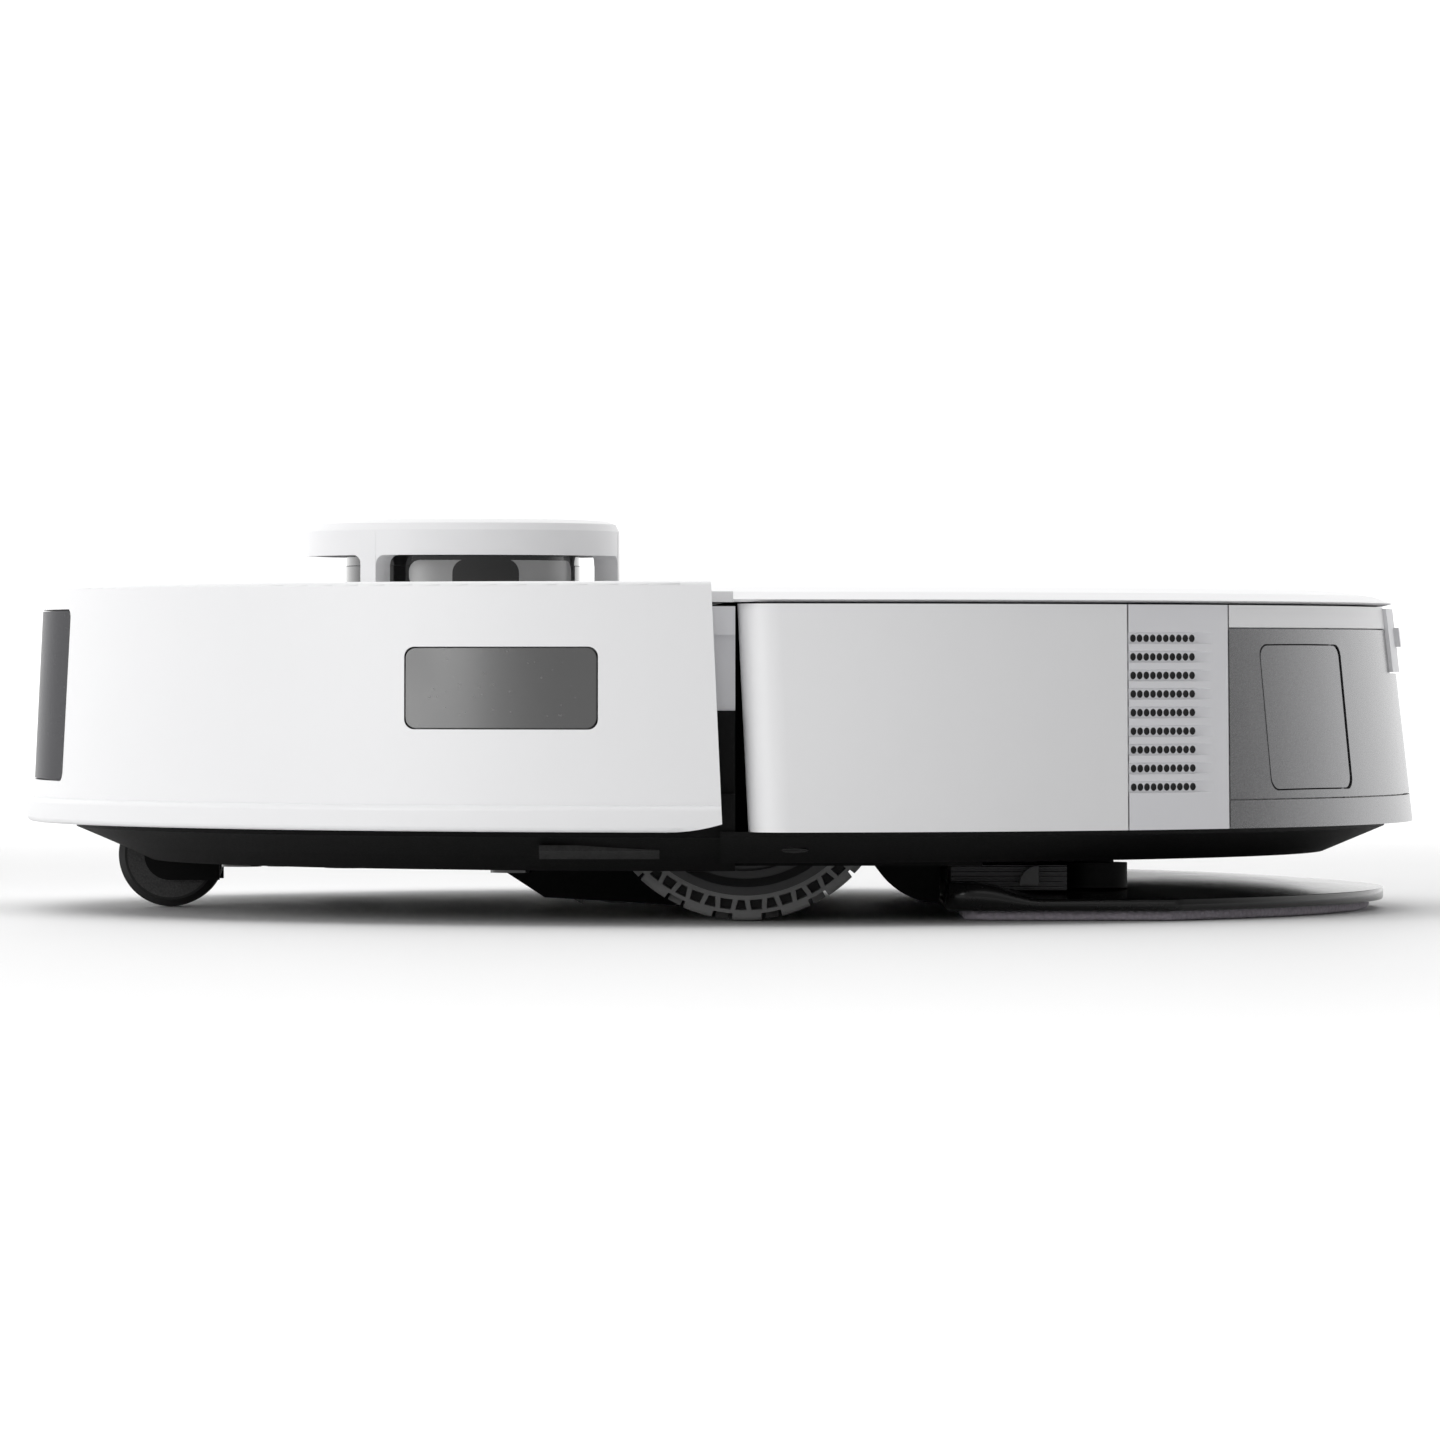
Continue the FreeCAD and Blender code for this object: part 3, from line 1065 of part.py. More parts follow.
batterySolid = block("BatterySolid", ("-battery_half", "battery_half"),
                     ("battery_front", "battery_front + battery_long"),
                     (floor_top, f"{floor_top} + battery_high"))
node("battery_pack", rounded("BatteryPack", batterySolid, 3, runsAlong("X")))
board_top = "(board_low + board_thick)"
chips = [block(f"Chip{number}", (spot, spot + 14), ("board_front + 22", "board_front + 34"),
               (f"{board_top} - 0.1", f"{board_top} + 2.4")) for number, spot in enumerate((-60, 20, 50))]
boardPlate = block("Board", ("-board_half", "board_half"), ("board_front", "board_front + board_long"),
                   ("board_low", board_top))
node("main_board", fused("MainBoard", boardPlate, *chips))
node("front_sensor_module", fused("FrontSensorModule",
                                  block("SensorBox", (-25, 25), (f"-{deck_r} + 1", f"-{deck_r} + 11"),
                                        (44, 63)),
                                  rod("SensorEyeA", 5, "Y", (f"-{deck_r} - 0.4", f"-{deck_r} + 2"),
                                      (-12, 54)),
                                  rod("SensorEyeB", 5, "Y", (f"-{deck_r} - 0.4", f"-{deck_r} + 2"),
                                      (12, 54))))
feltPads = []
for number, side in enumerate((-1, 1)):
    pad = doc.addObject("Part::Box", f"FeltPad{number}")
    bind(pad, Length="felt_wide", Width="felt_long", Height="felt_thick")
    pad.Placement.Rotation = Rotation(Vector(0, 1, 0), -value("felt_lean"))
    place(pad, f"{body_r} - 25.2", "-felt_front", f"{fg} + 3")
    feltPads.append(pad if side > 0 else mirrored("FeltPadRight", pad))
node("side_felt_pads", cut("SideFeltPads", fused("FeltPads", *feltPads), parts["base_chassis"]))
cliffAngles = (-62, -118, -22, -158)
cliffs = []
for number, angle in enumerate(cliffAngles):
    east = math.cos(math.radians(angle))
    north = math.sin(math.radians(angle))
    cliffs.append(rod(f"Cliff{number}", 5, "Z", (f"{fg} - 0.8", f"{fg} + 0.6"),
                      (f"({body_r} - 42) * {east}", f"({body_r} - 42) * {north}")))
node("cliff_sensors", cut("CliffSensors", fused("CliffSolid", *cliffs), parts["base_chassis"]))
screwSpots = ((-60, -110), (60, -110), (-80, -70), (80, -70), (-40, 10), (40, 10))
screws = [rod(f"Screw{number}", "screw_head_dia / 2", "Z", (f"{fg} - 0.9", fg), spot)
          for number, spot in enumerate(screwSpots)]
node("chassis_screws", fused("ChassisScrews", *screws))

doc.recompute()
for thing in doc.Objects:
    if {"Invalid", "Error"} & set(thing.State):
        raise RuntimeError(f"{thing.Name} failed: {thing.State}")
for label, thing in parts.items():
    if thing.Shape.isNull() or not thing.Shape.isValid() or thing.Shape.Volume <= 0:
        raise RuntimeError(f"{label} has no valid shape")

os.makedirs("parts", exist_ok=True)
for label, thing in parts.items():
    thing.Shape.exportStep(f"parts/{label}.step")
print(len(parts), "sub-parts")
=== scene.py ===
import json
import math
import bmesh
import bpy
import numpy as np
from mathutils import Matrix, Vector


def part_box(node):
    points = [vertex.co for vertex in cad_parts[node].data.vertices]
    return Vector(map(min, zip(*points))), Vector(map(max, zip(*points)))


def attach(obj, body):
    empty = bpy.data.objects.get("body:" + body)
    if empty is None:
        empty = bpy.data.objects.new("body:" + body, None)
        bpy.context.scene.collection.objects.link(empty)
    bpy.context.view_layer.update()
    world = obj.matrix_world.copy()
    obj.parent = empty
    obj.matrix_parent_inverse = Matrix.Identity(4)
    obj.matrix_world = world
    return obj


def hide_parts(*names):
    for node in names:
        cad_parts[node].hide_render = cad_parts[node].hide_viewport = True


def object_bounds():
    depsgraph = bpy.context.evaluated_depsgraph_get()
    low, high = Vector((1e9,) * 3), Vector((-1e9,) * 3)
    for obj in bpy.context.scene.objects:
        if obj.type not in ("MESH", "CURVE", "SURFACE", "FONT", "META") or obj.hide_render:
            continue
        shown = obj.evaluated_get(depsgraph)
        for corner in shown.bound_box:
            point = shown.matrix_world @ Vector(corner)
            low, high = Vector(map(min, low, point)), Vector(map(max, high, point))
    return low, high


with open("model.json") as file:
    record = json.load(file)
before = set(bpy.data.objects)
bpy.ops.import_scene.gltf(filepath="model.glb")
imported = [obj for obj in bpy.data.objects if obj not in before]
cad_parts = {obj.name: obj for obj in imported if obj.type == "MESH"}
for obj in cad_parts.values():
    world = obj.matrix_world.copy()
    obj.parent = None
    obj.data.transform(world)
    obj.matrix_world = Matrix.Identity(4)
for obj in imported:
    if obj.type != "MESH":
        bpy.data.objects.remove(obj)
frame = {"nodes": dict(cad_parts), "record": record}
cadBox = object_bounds()
print("frame loaded", len(frame["nodes"]), "nodes")
nodes = frame["nodes"]
mm = 0.001


# mesh helpers

def finishMesh(name, mesh, body, replaced=(), smooth=40):
    # merges doubles, turns faces outwards, shades by angle and rides the piece on its body
    work = bmesh.new()
    work.from_mesh(mesh)
    bmesh.ops.remove_doubles(work, verts=work.verts, dist=1e-7)
    bmesh.ops.recalc_face_normals(work, faces=work.faces)
    limit = math.radians(smooth)
    for face in work.faces:
        face.smooth = True
    for edge in work.edges:
        edge.smooth = not (edge.is_manifold and edge.calc_face_angle(0) > limit)
    work.to_mesh(mesh)
    work.free()
    piece = bpy.data.objects.new(name, mesh)
    bpy.context.scene.collection.objects.link(piece)
    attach(piece, body)
    if replaced:
        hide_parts(*replaced)
    return piece


def gridFaces(rows, columns, loopRows, loopColumns, start=0):
    # quads of a rows by columns grid of points, joined round where it loops
    row = np.arange(rows if loopRows else rows - 1)
    column = np.arange(columns if loopColumns else columns - 1)
    row, column = np.meshgrid(row, column, indexing="ij")
    nextRow = (row + 1) % rows
    nextColumn = (column + 1) % columns
    corners = [row * columns + column, nextRow * columns + column,
               nextRow * columns + nextColumn, row * columns + nextColumn]
    return np.stack(corners, -1).reshape(-1, 4) + start


def gridMesh(name, points, loopRows=False, loopColumns=False, caps=False, shadeMarks=None):
    # a surface from an array of points; caps close the two ends of a tube of looped columns
    rows, columns = points.shape[:2]
    faces = gridFaces(rows, columns, loopRows, loopColumns).tolist()
    if caps:
        faces.append(list(range(columns)))
        faces.append(list(range((rows - 1) * columns, rows * columns)))
    mesh = bpy.data.meshes.new(name)
    mesh.from_pydata(points.reshape(-1, 3).tolist(), [], faces)
    # the marks are a per-point share of painted shade that darkens recesses in the material
    if shadeMarks is not None:
        layer = mesh.attributes.new("mark", "FLOAT", "POINT")
        layer.data.foreach_set("value", shadeMarks.reshape(-1).astype(np.float32))
    return mesh


def joinMeshes(name, meshes):
    # one mesh from several, by their points and faces
    points = []
    faces = []
    for mesh in meshes:
        start = len(points)
        points += [tuple(vertex.co) for vertex in mesh.vertices]
        faces += [[start + index for index in polygon.vertices] for polygon in mesh.polygons]
    whole = bpy.data.meshes.new(name)
    whole.from_pydata(points, [], faces)
    return whole


def ease(value):
    # smooth step from 0 to 1
    value = np.clip(value, 0, 1)
    return value * value * (3 - 2 * value)


# shader helpers

class Wire:
    # one output of a node: sums written on it add Math nodes
    def __init__(self, paint, socket):
        self.paint = paint
        self.socket = socket

    def join(self, operation, first, second):
        return self.paint.add("ShaderNodeMath", {"operation": operation}, {0: first, 1: second})

    def __add__(self, other):
        return self.join("ADD", self, other)

    def __radd__(self, other):
        return self.join("ADD", other, self)

    def __sub__(self, other):
        return self.join("SUBTRACT", self, other)

    def __rsub__(self, other):
        return self.join("SUBTRACT", other, self)

    def __mul__(self, other):
        return self.join("MULTIPLY", self, other)

    def __rmul__(self, other):
        return self.join("MULTIPLY", other, self)

    def __pow__(self, other):
        return self.join("POWER", self, other)

    def above(self, other):
        return self.join("GREATER_THAN", self, other)


class Paint:
    # a material built round one Principled shader
    def __init__(self, name, **values):
        self.material = bpy.data.materials.new(name)
        self.material.use_nodes = True
        self.tree = self.material.node_tree
        self.shader = next(node for node in self.tree.nodes if node.type == "BSDF_PRINCIPLED")
        for socket, amount in values.items():
            self.shader.inputs[socket.replace("_", " ")].default_value = amount

    def add(self, kind, settings, inputs, out=0):
        node = self.tree.nodes.new(kind)
        for name, amount in settings.items():
            setattr(node, name, amount)
        for name, amount in inputs.items():
            if isinstance(amount, Wire):
                self.tree.links.new(amount.socket, node.inputs[name])
            else:
                node.inputs[name].default_value = amount
        return Wire(self, node.outputs[out])

    def set(self, **wires):
        for name, wire in wires.items():
            self.tree.links.new(wire.socket, self.shader.inputs[name.replace("_", " ")])
        return self

    def place(self):
        return self.add("ShaderNodeTexCoord", {}, {}, 3)

    def noise(self, scale, detail=3.0, roughness=0.5, where=None):
        where = where or self.place()
        return self.add("ShaderNodeTexNoise", {}, {"Vector": where, "Scale": scale, "Detail": detail,
                                                   "Roughness": roughness})

    def cells(self, scale, where=None, out=0):
        where = where or self.place()
        return self.add("ShaderNodeTexVoronoi", {}, {"Vector": where, "Scale": scale}, out)

    # reads the per-point share of painted shade stored on the mesh
    def mark(self, name="mark"):
        return self.add("ShaderNodeAttribute", {"attribute_name": name}, {}, 2)

    def mix(self, share, low, high):
        return self.add("ShaderNodeMix", {"data_type": "RGBA"}, {0: share, 6: low, 7: high}, 2)

    def bump(self, height, strength, distance):
        normal = self.add("ShaderNodeBump", {},
                          {"Height": height, "Strength": strength, "Distance": distance})
        return self.set(Normal=normal)


def grey(amount, blue=1.0):
    return (amount, amount, amount * blue, 1)


# materials

whiteLook = dict(light=0.88, dark=0.84, grainScale=2600, grainDepth=0.00002)


def whiteShell(name="whiteShell", light=whiteLook["light"], dark=whiteLook["dark"], blue=1.01, gloss=0.34):
    # satin moulded plastic: faint cloudiness, a fine spark-eroded grain and slightly uneven gloss
    paint = Paint(name, IOR=1.48)
    cloud = paint.noise(9, 2)
    grain = paint.noise(whiteLook["grainScale"], 2, 0.6)
    paint.set(Base_Color=paint.mix(cloud, grey(dark, blue), grey(light, blue)),
              Roughness=cloud * 0.08 + (gloss - 0.04))
    paint.bump(grain, 0.25, whiteLook["grainDepth"])
    return paint.material


def metallicGrey():
    # paint with fine flakes over plastic
    paint = Paint("metallicGrey", Metallic=0.95)
    flakes = paint.cells(5200, out=1)
    flakeLight = paint.add("ShaderNodeSeparateColor", {}, {"Color": flakes})
    cloud = paint.noise(14, 2)
    paint.set(Base_Color=paint.mix(flakeLight * 0.6 + cloud * 0.3, grey(0.26, 1.02), grey(0.36, 1.02)),
              Roughness=flakeLight * 0.1 + 0.2)
    paint.bump(paint.noise(3000, 2), 0.2, 0.00002)
    return paint.material


def windowGrey():
    # smoked infrared window: deep gloss, a soft vertical change of depth and a few dust specks
    paint = Paint("windowGrey", Metallic=0.9, Specular_Tint=(0.25, 0.25, 0.26, 1))
    cloud = paint.noise(18, 2)
    dust = paint.noise(900, 1).above(0.74)
    paint.set(Base_Color=paint.mix(cloud, grey(0.16), grey(0.20)), Roughness=cloud * 0.06 + dust * 0.2 + 0.2)
    return paint.material


def blackPlastic(name="blackPlastic", light=0.005, dark=0.003, gloss=0.6, grain=1500, shine=0.15):
    # textured black plastic with faintly worn high spots
    paint = Paint(name, Specular_IOR_Level=shine)
    cloud = paint.noise(22, 3)
    texture = paint.noise(grain, 3, 0.6)
    paint.set(Base_Color=paint.mix(cloud, grey(dark), grey(light, 1.05)),
              Roughness=texture * 0.18 + (gloss - 0.09))
    paint.bump(texture, 0.35, 0.00005)
    return paint.material


def pianoBlack():
    # glossy black with a clear coat and hairline swirls
    paint = Paint("pianoBlack", Specular_IOR_Level=0.2, Coat_Weight=0.25, Coat_Roughness=0.1)
    swirl = paint.noise(60, 5, 0.7)
    paint.set(Base_Color=paint.mix(swirl, grey(0.006), grey(0.012)), Roughness=swirl * 0.12 + 0.14)
    return paint.material


def rotorBlack():
    # glossy black tinted cover of the scanner, darker in its lens band
    paint = Paint("rotorBlack", Coat_Weight=0.8, Coat_Roughness=0.05)
    cloud = paint.noise(40, 2)
    paint.set(Base_Color=paint.mix(cloud, grey(0.003), grey(0.005, 1.2)), Roughness=cloud * 0.05 + 0.1)
    return paint.material


def tyreRubber():
    # grey moulded rubber: dusty, with painted shade darkening it down in its pockets
    paint = Paint("tyreRubber", Specular_IOR_Level=0.3)
    dust = paint.noise(70, 4, 0.65)
    pocket = paint.mark()
    body = paint.mix(dust, grey(0.21), grey(0.28))
    # painted shade: the pocket mark turns the rubber near black down in the sunk pockets
    paint.set(Base_Color=paint.mix(pocket, body, grey(0.025)), Roughness=dust * 0.15 + 0.62)
    paint.bump(paint.noise(1800, 3), 0.4, 0.00006)
    return paint.material


def softRubber(name, light, dark):
    paint = Paint(name, Specular_IOR_Level=0.35)
    dust = paint.noise(90, 4, 0.6)
    paint.set(Base_Color=paint.mix(dust, grey(dark), grey(light)), Roughness=dust * 0.2 + 0.5)
    paint.bump(paint.noise(1600, 3), 0.35, 0.00005)
    return paint.material


def speckledGrey():
    # coarse textured disc of the caster
    paint = Paint("speckledGrey")
    speck = paint.cells(1900)
    cloud = paint.noise(60, 3)
    paint.set(Base_Color=paint.mix(speck * 0.7 + cloud * 0.3, grey(0.07), grey(0.028)),
              Roughness=speck * 0.2 + 0.5)
    paint.bump(speck, 0.6, 0.00012)
    return paint.material


def feltCloth():
    paint = Paint("feltCloth", Specular_IOR_Level=0.15)
    fibre = paint.noise(1400, 5, 0.75)
    clump = paint.noise(260, 3)
    paint.set(Base_Color=paint.mix(fibre * 0.7 + clump * 0.3, grey(0.02), grey(0.085)),
              Roughness=fibre * 0.1 + 0.88)
    paint.bump(fibre * 0.7 + clump * 0.5, 0.9, 0.0003)
    return paint.material


def padCloth():
    # short looped microfibre pile in faint lilac grey
    paint = Paint("padCloth", Specular_IOR_Level=0.15, Sheen_Weight=0.25)
    loops = paint.cells(950)
    fibre = paint.noise(2200, 4, 0.7)
    tint = paint.noise(45, 3)
    shade = loops * 0.6 + fibre * 0.25 + tint * 0.3
    paint.set(Base_Color=paint.mix(shade, (0.66, 0.61, 0.68, 1), (0.40, 0.37, 0.42, 1)),
              Roughness=fibre * 0.08 + 0.86)
    paint.bump(loops * -1.0 + fibre * 0.4, 0.9, 0.0004)
    return paint.material


def brushedMetal(name, colour, shine=0.28):
    paint = Paint(name, Metallic=1.0)
    where = paint.add("ShaderNodeMapping", {}, {"Vector": paint.place(), "Scale": (40, 40, 1.5)})
    streak = paint.noise(90, 4, 0.6, where)
    low = tuple(channel * 0.8 for channel in colour) + (1,)
    paint.set(Base_Color=paint.mix(streak, low, colour + (1,)), Roughness=streak * 0.2 + (shine - 0.08))
    return paint.material


def smokedPlastic():
    paint = Paint("smokedPlastic", Coat_Weight=0.4, Coat_Roughness=0.1)
    cloud = paint.noise(20, 3)
    paint.set(Base_Color=paint.mix(cloud, grey(0.05), grey(0.09, 1.05)), Roughness=cloud * 0.1 + 0.2)
    return paint.material


def colouredPlastic(name, low, high, gloss=0.4):
    paint = Paint(name)
    cloud = paint.noise(120, 4)
    paint.set(Base_Color=paint.mix(cloud, low + (1,), high + (1,)), Roughness=cloud * 0.15 + gloss)
    return paint.material


looks = {
    "white_shell": whiteShell(),
    "warm_white": whiteShell("warmWhite", 0.80, 0.75, 1.03, 0.4),
    "grey_metallic": metallicGrey(),
    "window_grey": windowGrey(),
    "black_plastic": blackPlastic(),
    "dark_plastic": blackPlastic("darkPlastic", 0.075, 0.05, 0.5, 1100, 0.4),
    "mop_gloss": pianoBlack(),
    "rotor_gloss": rotorBlack(),
    "tyre_grey": tyreRubber(),
    "caster_rubber": softRubber("casterRubber", 0.02, 0.012),
    "caster_grey": speckledGrey(),
    "pad_cloth": padCloth(),
    "felt": feltCloth(),
    "fin_rubber": softRubber("finRubber", 0.26, 0.18),
    "bristle": blackPlastic("bristleNylon", 0.05, 0.03, 0.4, 2000),
    "steel": brushedMetal("steel", (0.62, 0.62, 0.64)),
    "contact_metal": brushedMetal("contactMetal", (0.72, 0.72, 0.74), 0.3),
    "motor_metal": brushedMetal("motorMetal", (0.55, 0.55, 0.57), 0.4),
    "battery_wrap": colouredPlastic("batteryWrap", (0.02, 0.06, 0.2), (0.03, 0.09, 0.28)),
    "board_green": colouredPlastic("boardGreen", (0.01, 0.10, 0.04), (0.02, 0.16, 0.07)),
    "clear_smoke": smokedPlastic(),
    "belt_rubber": softRubber("beltRubber", 0.03, 0.02),
}


def dress(piece, slot):
    piece.data.materials.clear()
    piece.data.materials.append(looks[slot])


for subpart in frame["record"]["subparts"]:
    dress(nodes[subpart["node"]], subpart["material_slot"])
print("materials made")


# drive tyres: lugs across the tread and tapered pockets in each wall

tyre = dict(pockets=57, low=0.20, high=0.56, depth=1.6 * mm, edge=0.17, nudge=0.02, step=0.03,
            evenInner=-0.11, evenOuter=0.026, oddInner=0.08, oddOuter=0.0,
            lugs=19, lugWide=0.59, innerStart=0.655, innerEnd=0.935, lugDepth=1.6 * mm, rowEdge=0.35,
            rowNudge=0.02,
            shoulder=1.3 * mm)


def driveTyre(side):
    # Points: an angle round the wheel by a place round the tyre's section. The angle is counted in pockets;
    # down each wall it is pushed sideways so that every pocket narrows one way, the next the other way. The
    # radius is cut back to the groove floor between the lugs, which stand in two outer rows and a middle one.
    low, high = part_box(f"drive_tyre_{side}")
    centre = (low + high) / 2
    outer = (high.z - low.z) / 2
    half = (high.x - low.x) / 2
    hubLow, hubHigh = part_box(f"drive_hub_{side}")
    inner = (hubHigh.z - hubLow.z) / 2
    step = tyre["step"]
    shares = [0.0, 0.06, tyre["low"] - step, tyre["low"] + step, (tyre["low"] + tyre["high"]) / 2,
              tyre["high"] - step, tyre["high"] + step, 0.7]
    stations = [(inner + (outer - inner) * share, half, share) for share in shares]
    for turn in np.linspace(0, math.pi / 2, 4):
        stations.append((outer - tyre["shoulder"] * (1 - math.sin(turn)),
                         half - tyre["shoulder"] * (1 - math.cos(turn)), 1))
    rowIn = tyre["rowEdge"] - tyre["rowNudge"]
    rowOut = tyre["rowEdge"] + tyre["rowNudge"]
    tread = [(outer, half * share, 1) for share in (0.6, rowOut, rowIn, 0, -rowIn, -rowOut, -0.6)]
    radius, across, share = np.array(stations + tread + [(r, -x, s) for r, x, s in reversed(stations)]).T
    edge = tyre["edge"]
    nudge = tyre["nudge"]
    template = np.array([0, edge - nudge, edge + nudge, 0.5, 1 - edge - nudge, 1 - edge + nudge, 1])
    columns = (np.arange(tyre["pockets"])[:, None] + template[None, :-1]).ravel()
    perLug = tyre["pockets"] / tyre["lugs"]
    lugEdges = np.array([0, tyre["lugWide"], tyre["innerStart"], tyre["innerEnd"]])
    lugSpots = (np.arange(tyre["lugs"])[:, None] + lugEdges[None, :]).ravel() * perLug
    columns = np.sort(np.concatenate([columns, lugSpots - 0.024, lugSpots + 0.026]) % tyre["pockets"])
    pocket = np.floor(columns)
    within = columns - pocket
    lean = np.interp(within, template, [0, 1, 1, 0, -1, -1, 0])
    deep = np.interp(within, template, [0, 0, 1, 1, 1, 0, 0])
    onWall = (share < 0.7) & (share > 0)
    height = np.clip((share - tyre["low"]) / (tyre["high"] - tyre["low"]), 0, 1)
    even = tyre["evenInner"] + (tyre["evenOuter"] - tyre["evenInner"]) * height
    odd = tyre["oddInner"] + (tyre["oddOuter"] - tyre["oddInner"]) * height
    wider = np.where((pocket % 2 == 0)[:, None], even[None, :], odd[None, :]) * onWall[None, :]
    angle = (columns[:, None] - lean[:, None] * wider) / tyre["pockets"] * 2 * math.pi
    # where the wall is sunk into pockets; the same share is stored as painted shade for the rubber
    pocketDepthAndShade = deep[:, None] * ((share > tyre["low"]) & (share < tyre["high"]))[None, :]
    phase = (columns / perLug) % 1
    outerGap = phase > tyre["lugWide"]
    middleGap = (phase < tyre["innerStart"]) | (phase > tyre["innerEnd"])
    middleRow = np.abs(across) < tyre["rowEdge"] * half
    gap = np.where(middleRow[None, :], middleGap[:, None], outerGap[:, None])
    spread = np.where(gap, np.minimum(radius, outer - tyre["lugDepth"])[None, :], radius[None, :])
    out = across[None, :] - np.sign(across)[None, :] * pocketDepthAndShade * tyre["depth"]
    points = np.stack([centre.x + out, centre.y + spread * np.cos(angle),
                       centre.z + spread * np.sin(angle)], -1)
    # the pocket share goes to the material as painted shade in the pockets
    mesh = gridMesh("tyre", points, True, True, shadeMarks=pocketDepthAndShade)
    piece = finishMesh(f"detailTyre_{side}", mesh, f"drive_wheel_{side}",
                       (f"drive_tyre_{side}",), 28)
    dress(piece, "tyre_grey")


for side in ("left", "right"):
    driveTyre(side)
print("tyres made")


# hub cover: a dished disc with rings, dark and plain

hub = dict(rings=4, ringDepth=0.9 * mm, dish=1.2 * mm)


def hubCover(side):
    # A profile of dish and rings carried round the axle.
    low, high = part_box(f"drive_hub_{side}")
    centre = (low + high) / 2
    face = high.x if side == "left" else low.x
    way = 1 if side == "left" else -1
    outer = (high.z - low.z) / 2 - 4.4 * mm
    radius = np.linspace(0.4 * mm, outer, 90)
    share = radius / outer
    ripple = hub["ringDepth"] * ease(0.5 + 2.2 * np.cos(share * hub["rings"] * 2 * math.pi))
    depth = 2.6 * mm - ripple - hub["dish"] * (1 - share ** 2)
    turn = np.linspace(0, 2 * math.pi, 96, endpoint=False)
    profile = [np.concatenate([radius, radius[::-1][:1]]), np.concatenate([depth, [2.95 * mm]])]
    reach, deep = np.array(profile)
    x = np.broadcast_to(face - way * deep, (len(turn), len(reach)))
    points = np.stack([x, centre.y + np.outer(np.cos(turn), reach),
                       centre.z + np.outer(np.sin(turn), reach)], -1)
    front = gridMesh("hubFront", points.transpose(1, 0, 2), False, True, caps=True)
    piece = finishMesh(f"hubRings_{side}", front, f"drive_wheel_{side}", (), 30)
    dress(piece, "dark_plastic")


for side in ("left", "right"):
    hubCover(side)
print("hubs made")


# exhaust grilles: grooves that fade out towards the rear, each with a row of holes

grille = dict(rows=9, holes=10, pitch=4.45 * mm, lowest=32.3 * mm, groove=2.6 * mm, grooveDepth=1.35 * mm,
              holeRadius=0.9 * mm, holePitch=2.12 * mm, holeDepth=0.35 * mm, firstHole=1.5 * mm,
              fadeStart=22.0 * mm,
              fadeEnd=27.4 * mm, thick=1.55 * mm, across=170, up=360)


def coneX(y, z):
    # the rear shell: circles whose radius and centre both change evenly with height
    bodyR = (cadBox[1].x - cadBox[0].x) / 2
    share = (z - 22.1 * mm) / (53.9 * mm)
    radius = bodyR - 0.7 * mm - 4.0 * mm * share
    centre = 0.7 * mm - 2.1 * mm * share
    return np.sqrt(radius ** 2 - (y - centre) ** 2)


def exhaustGrille(side):
    # Points: a place across the grille by a height. The wall is pushed in along X by a groove profile in
    # height, faded by the place across, and by a round well at each hole.
    low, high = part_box(f"exhaust_grille_{side}")
    way = 1 if side == "left" else -1
    y = np.linspace(low.y, high.y, grille["across"])
    z = np.linspace(low.z, high.z, grille["up"])
    gridY, gridZ = np.meshgrid(y, z)
    x = coneX(gridY, gridZ)
    middle = coneX((low.y + high.y) / 2, (low.z + high.z) / 2)
    stretch = math.hypot(1, (low.y + high.y) / 2 / middle)
    arc = (gridY - low.y) * stretch
    row = np.clip(np.round((gridZ - grille["lowest"]) / grille["pitch"]), 0, grille["rows"] - 1)
    fromRow = np.abs(gridZ - grille["lowest"] - row * grille["pitch"])
    groove = ease((grille["groove"] / 2 - fromRow) / (0.22 * mm) + 0.5)
    fade = 1 - np.clip((arc - grille["fadeStart"]) / (grille["fadeEnd"] - grille["fadeStart"]), 0, 1)
    hole = np.clip(np.round((arc - grille["firstHole"]) / grille["holePitch"]), 0, grille["holes"] - 1)
    fromHole = np.hypot(arc - grille["firstHole"] - hole * grille["holePitch"], fromRow)
    well = ease((grille["holeRadius"] - fromHole) / (0.22 * mm) + 0.5)
    depth = groove * fade * grille["grooveDepth"] + well * grille["holeDepth"]
    front = np.stack([way * (x - depth), gridY, gridZ], -1)
    back = np.stack([way * (coneX(gridY[:, [-1, 0]], gridZ[:, [-1, 0]]) - grille["thick"] * 1.28),
                     gridY[:, [-1, 0]], gridZ[:, [-1, 0]]], -1)
    # the hole wells are marked for painted black shade, in place of the dark inside real holes
    shadeMarks = np.concatenate([well, np.zeros((len(z), 2))], 1)
    mesh = gridMesh("grille", np.concatenate([front, back], 1), False, True, caps=True, shadeMarks=shadeMarks)
    piece = finishMesh(f"louvre_{side}", mesh, "body", (f"exhaust_grille_{side}",), 50)
    piece.data.materials.clear()
    piece.data.materials.append(grillePlastic)


def grilleLook():
    # the off-white of the grille, with painted black shade down in its shallow hole wells
    paint = Paint("grillePlastic", IOR=1.48)
    cloud = paint.noise(9, 2)
    body = paint.mix(cloud, grey(0.76, 1.03), grey(0.81, 1.03))
    paint.set(Base_Color=paint.mix(paintedHoleShade(paint), body, grey(0.004)), Roughness=cloud * 0.08 + 0.4)
    paint.bump(paint.noise(2600, 2), 0.25, 0.00002)
    return paint.material


# painted shade: maps the well mark to the black painted into the holes
def paintedHoleShade(paint):
    return paint.add("ShaderNodeMapRange", {"clamp": True},
                     {0: paint.mark(), 1: 0.25, 2: 0.6, 3: 0.0, 4: 1.0})


grillePlastic = grilleLook()
for side in ("left", "right"):
    exhaustGrille(side)
print("grilles made")


# mop plate and pad: both follow one D-shaped outline

mop = dict(corner=7 * mm, rimHigh=5.2 * mm, crown=2.8 * mm, crownReach=62 * mm, lipRise=3.8 * mm,
           lipFlat=6.6 * mm, lipReach=16 * mm, edgeRound=0.5 * mm, rings=70, around=720)


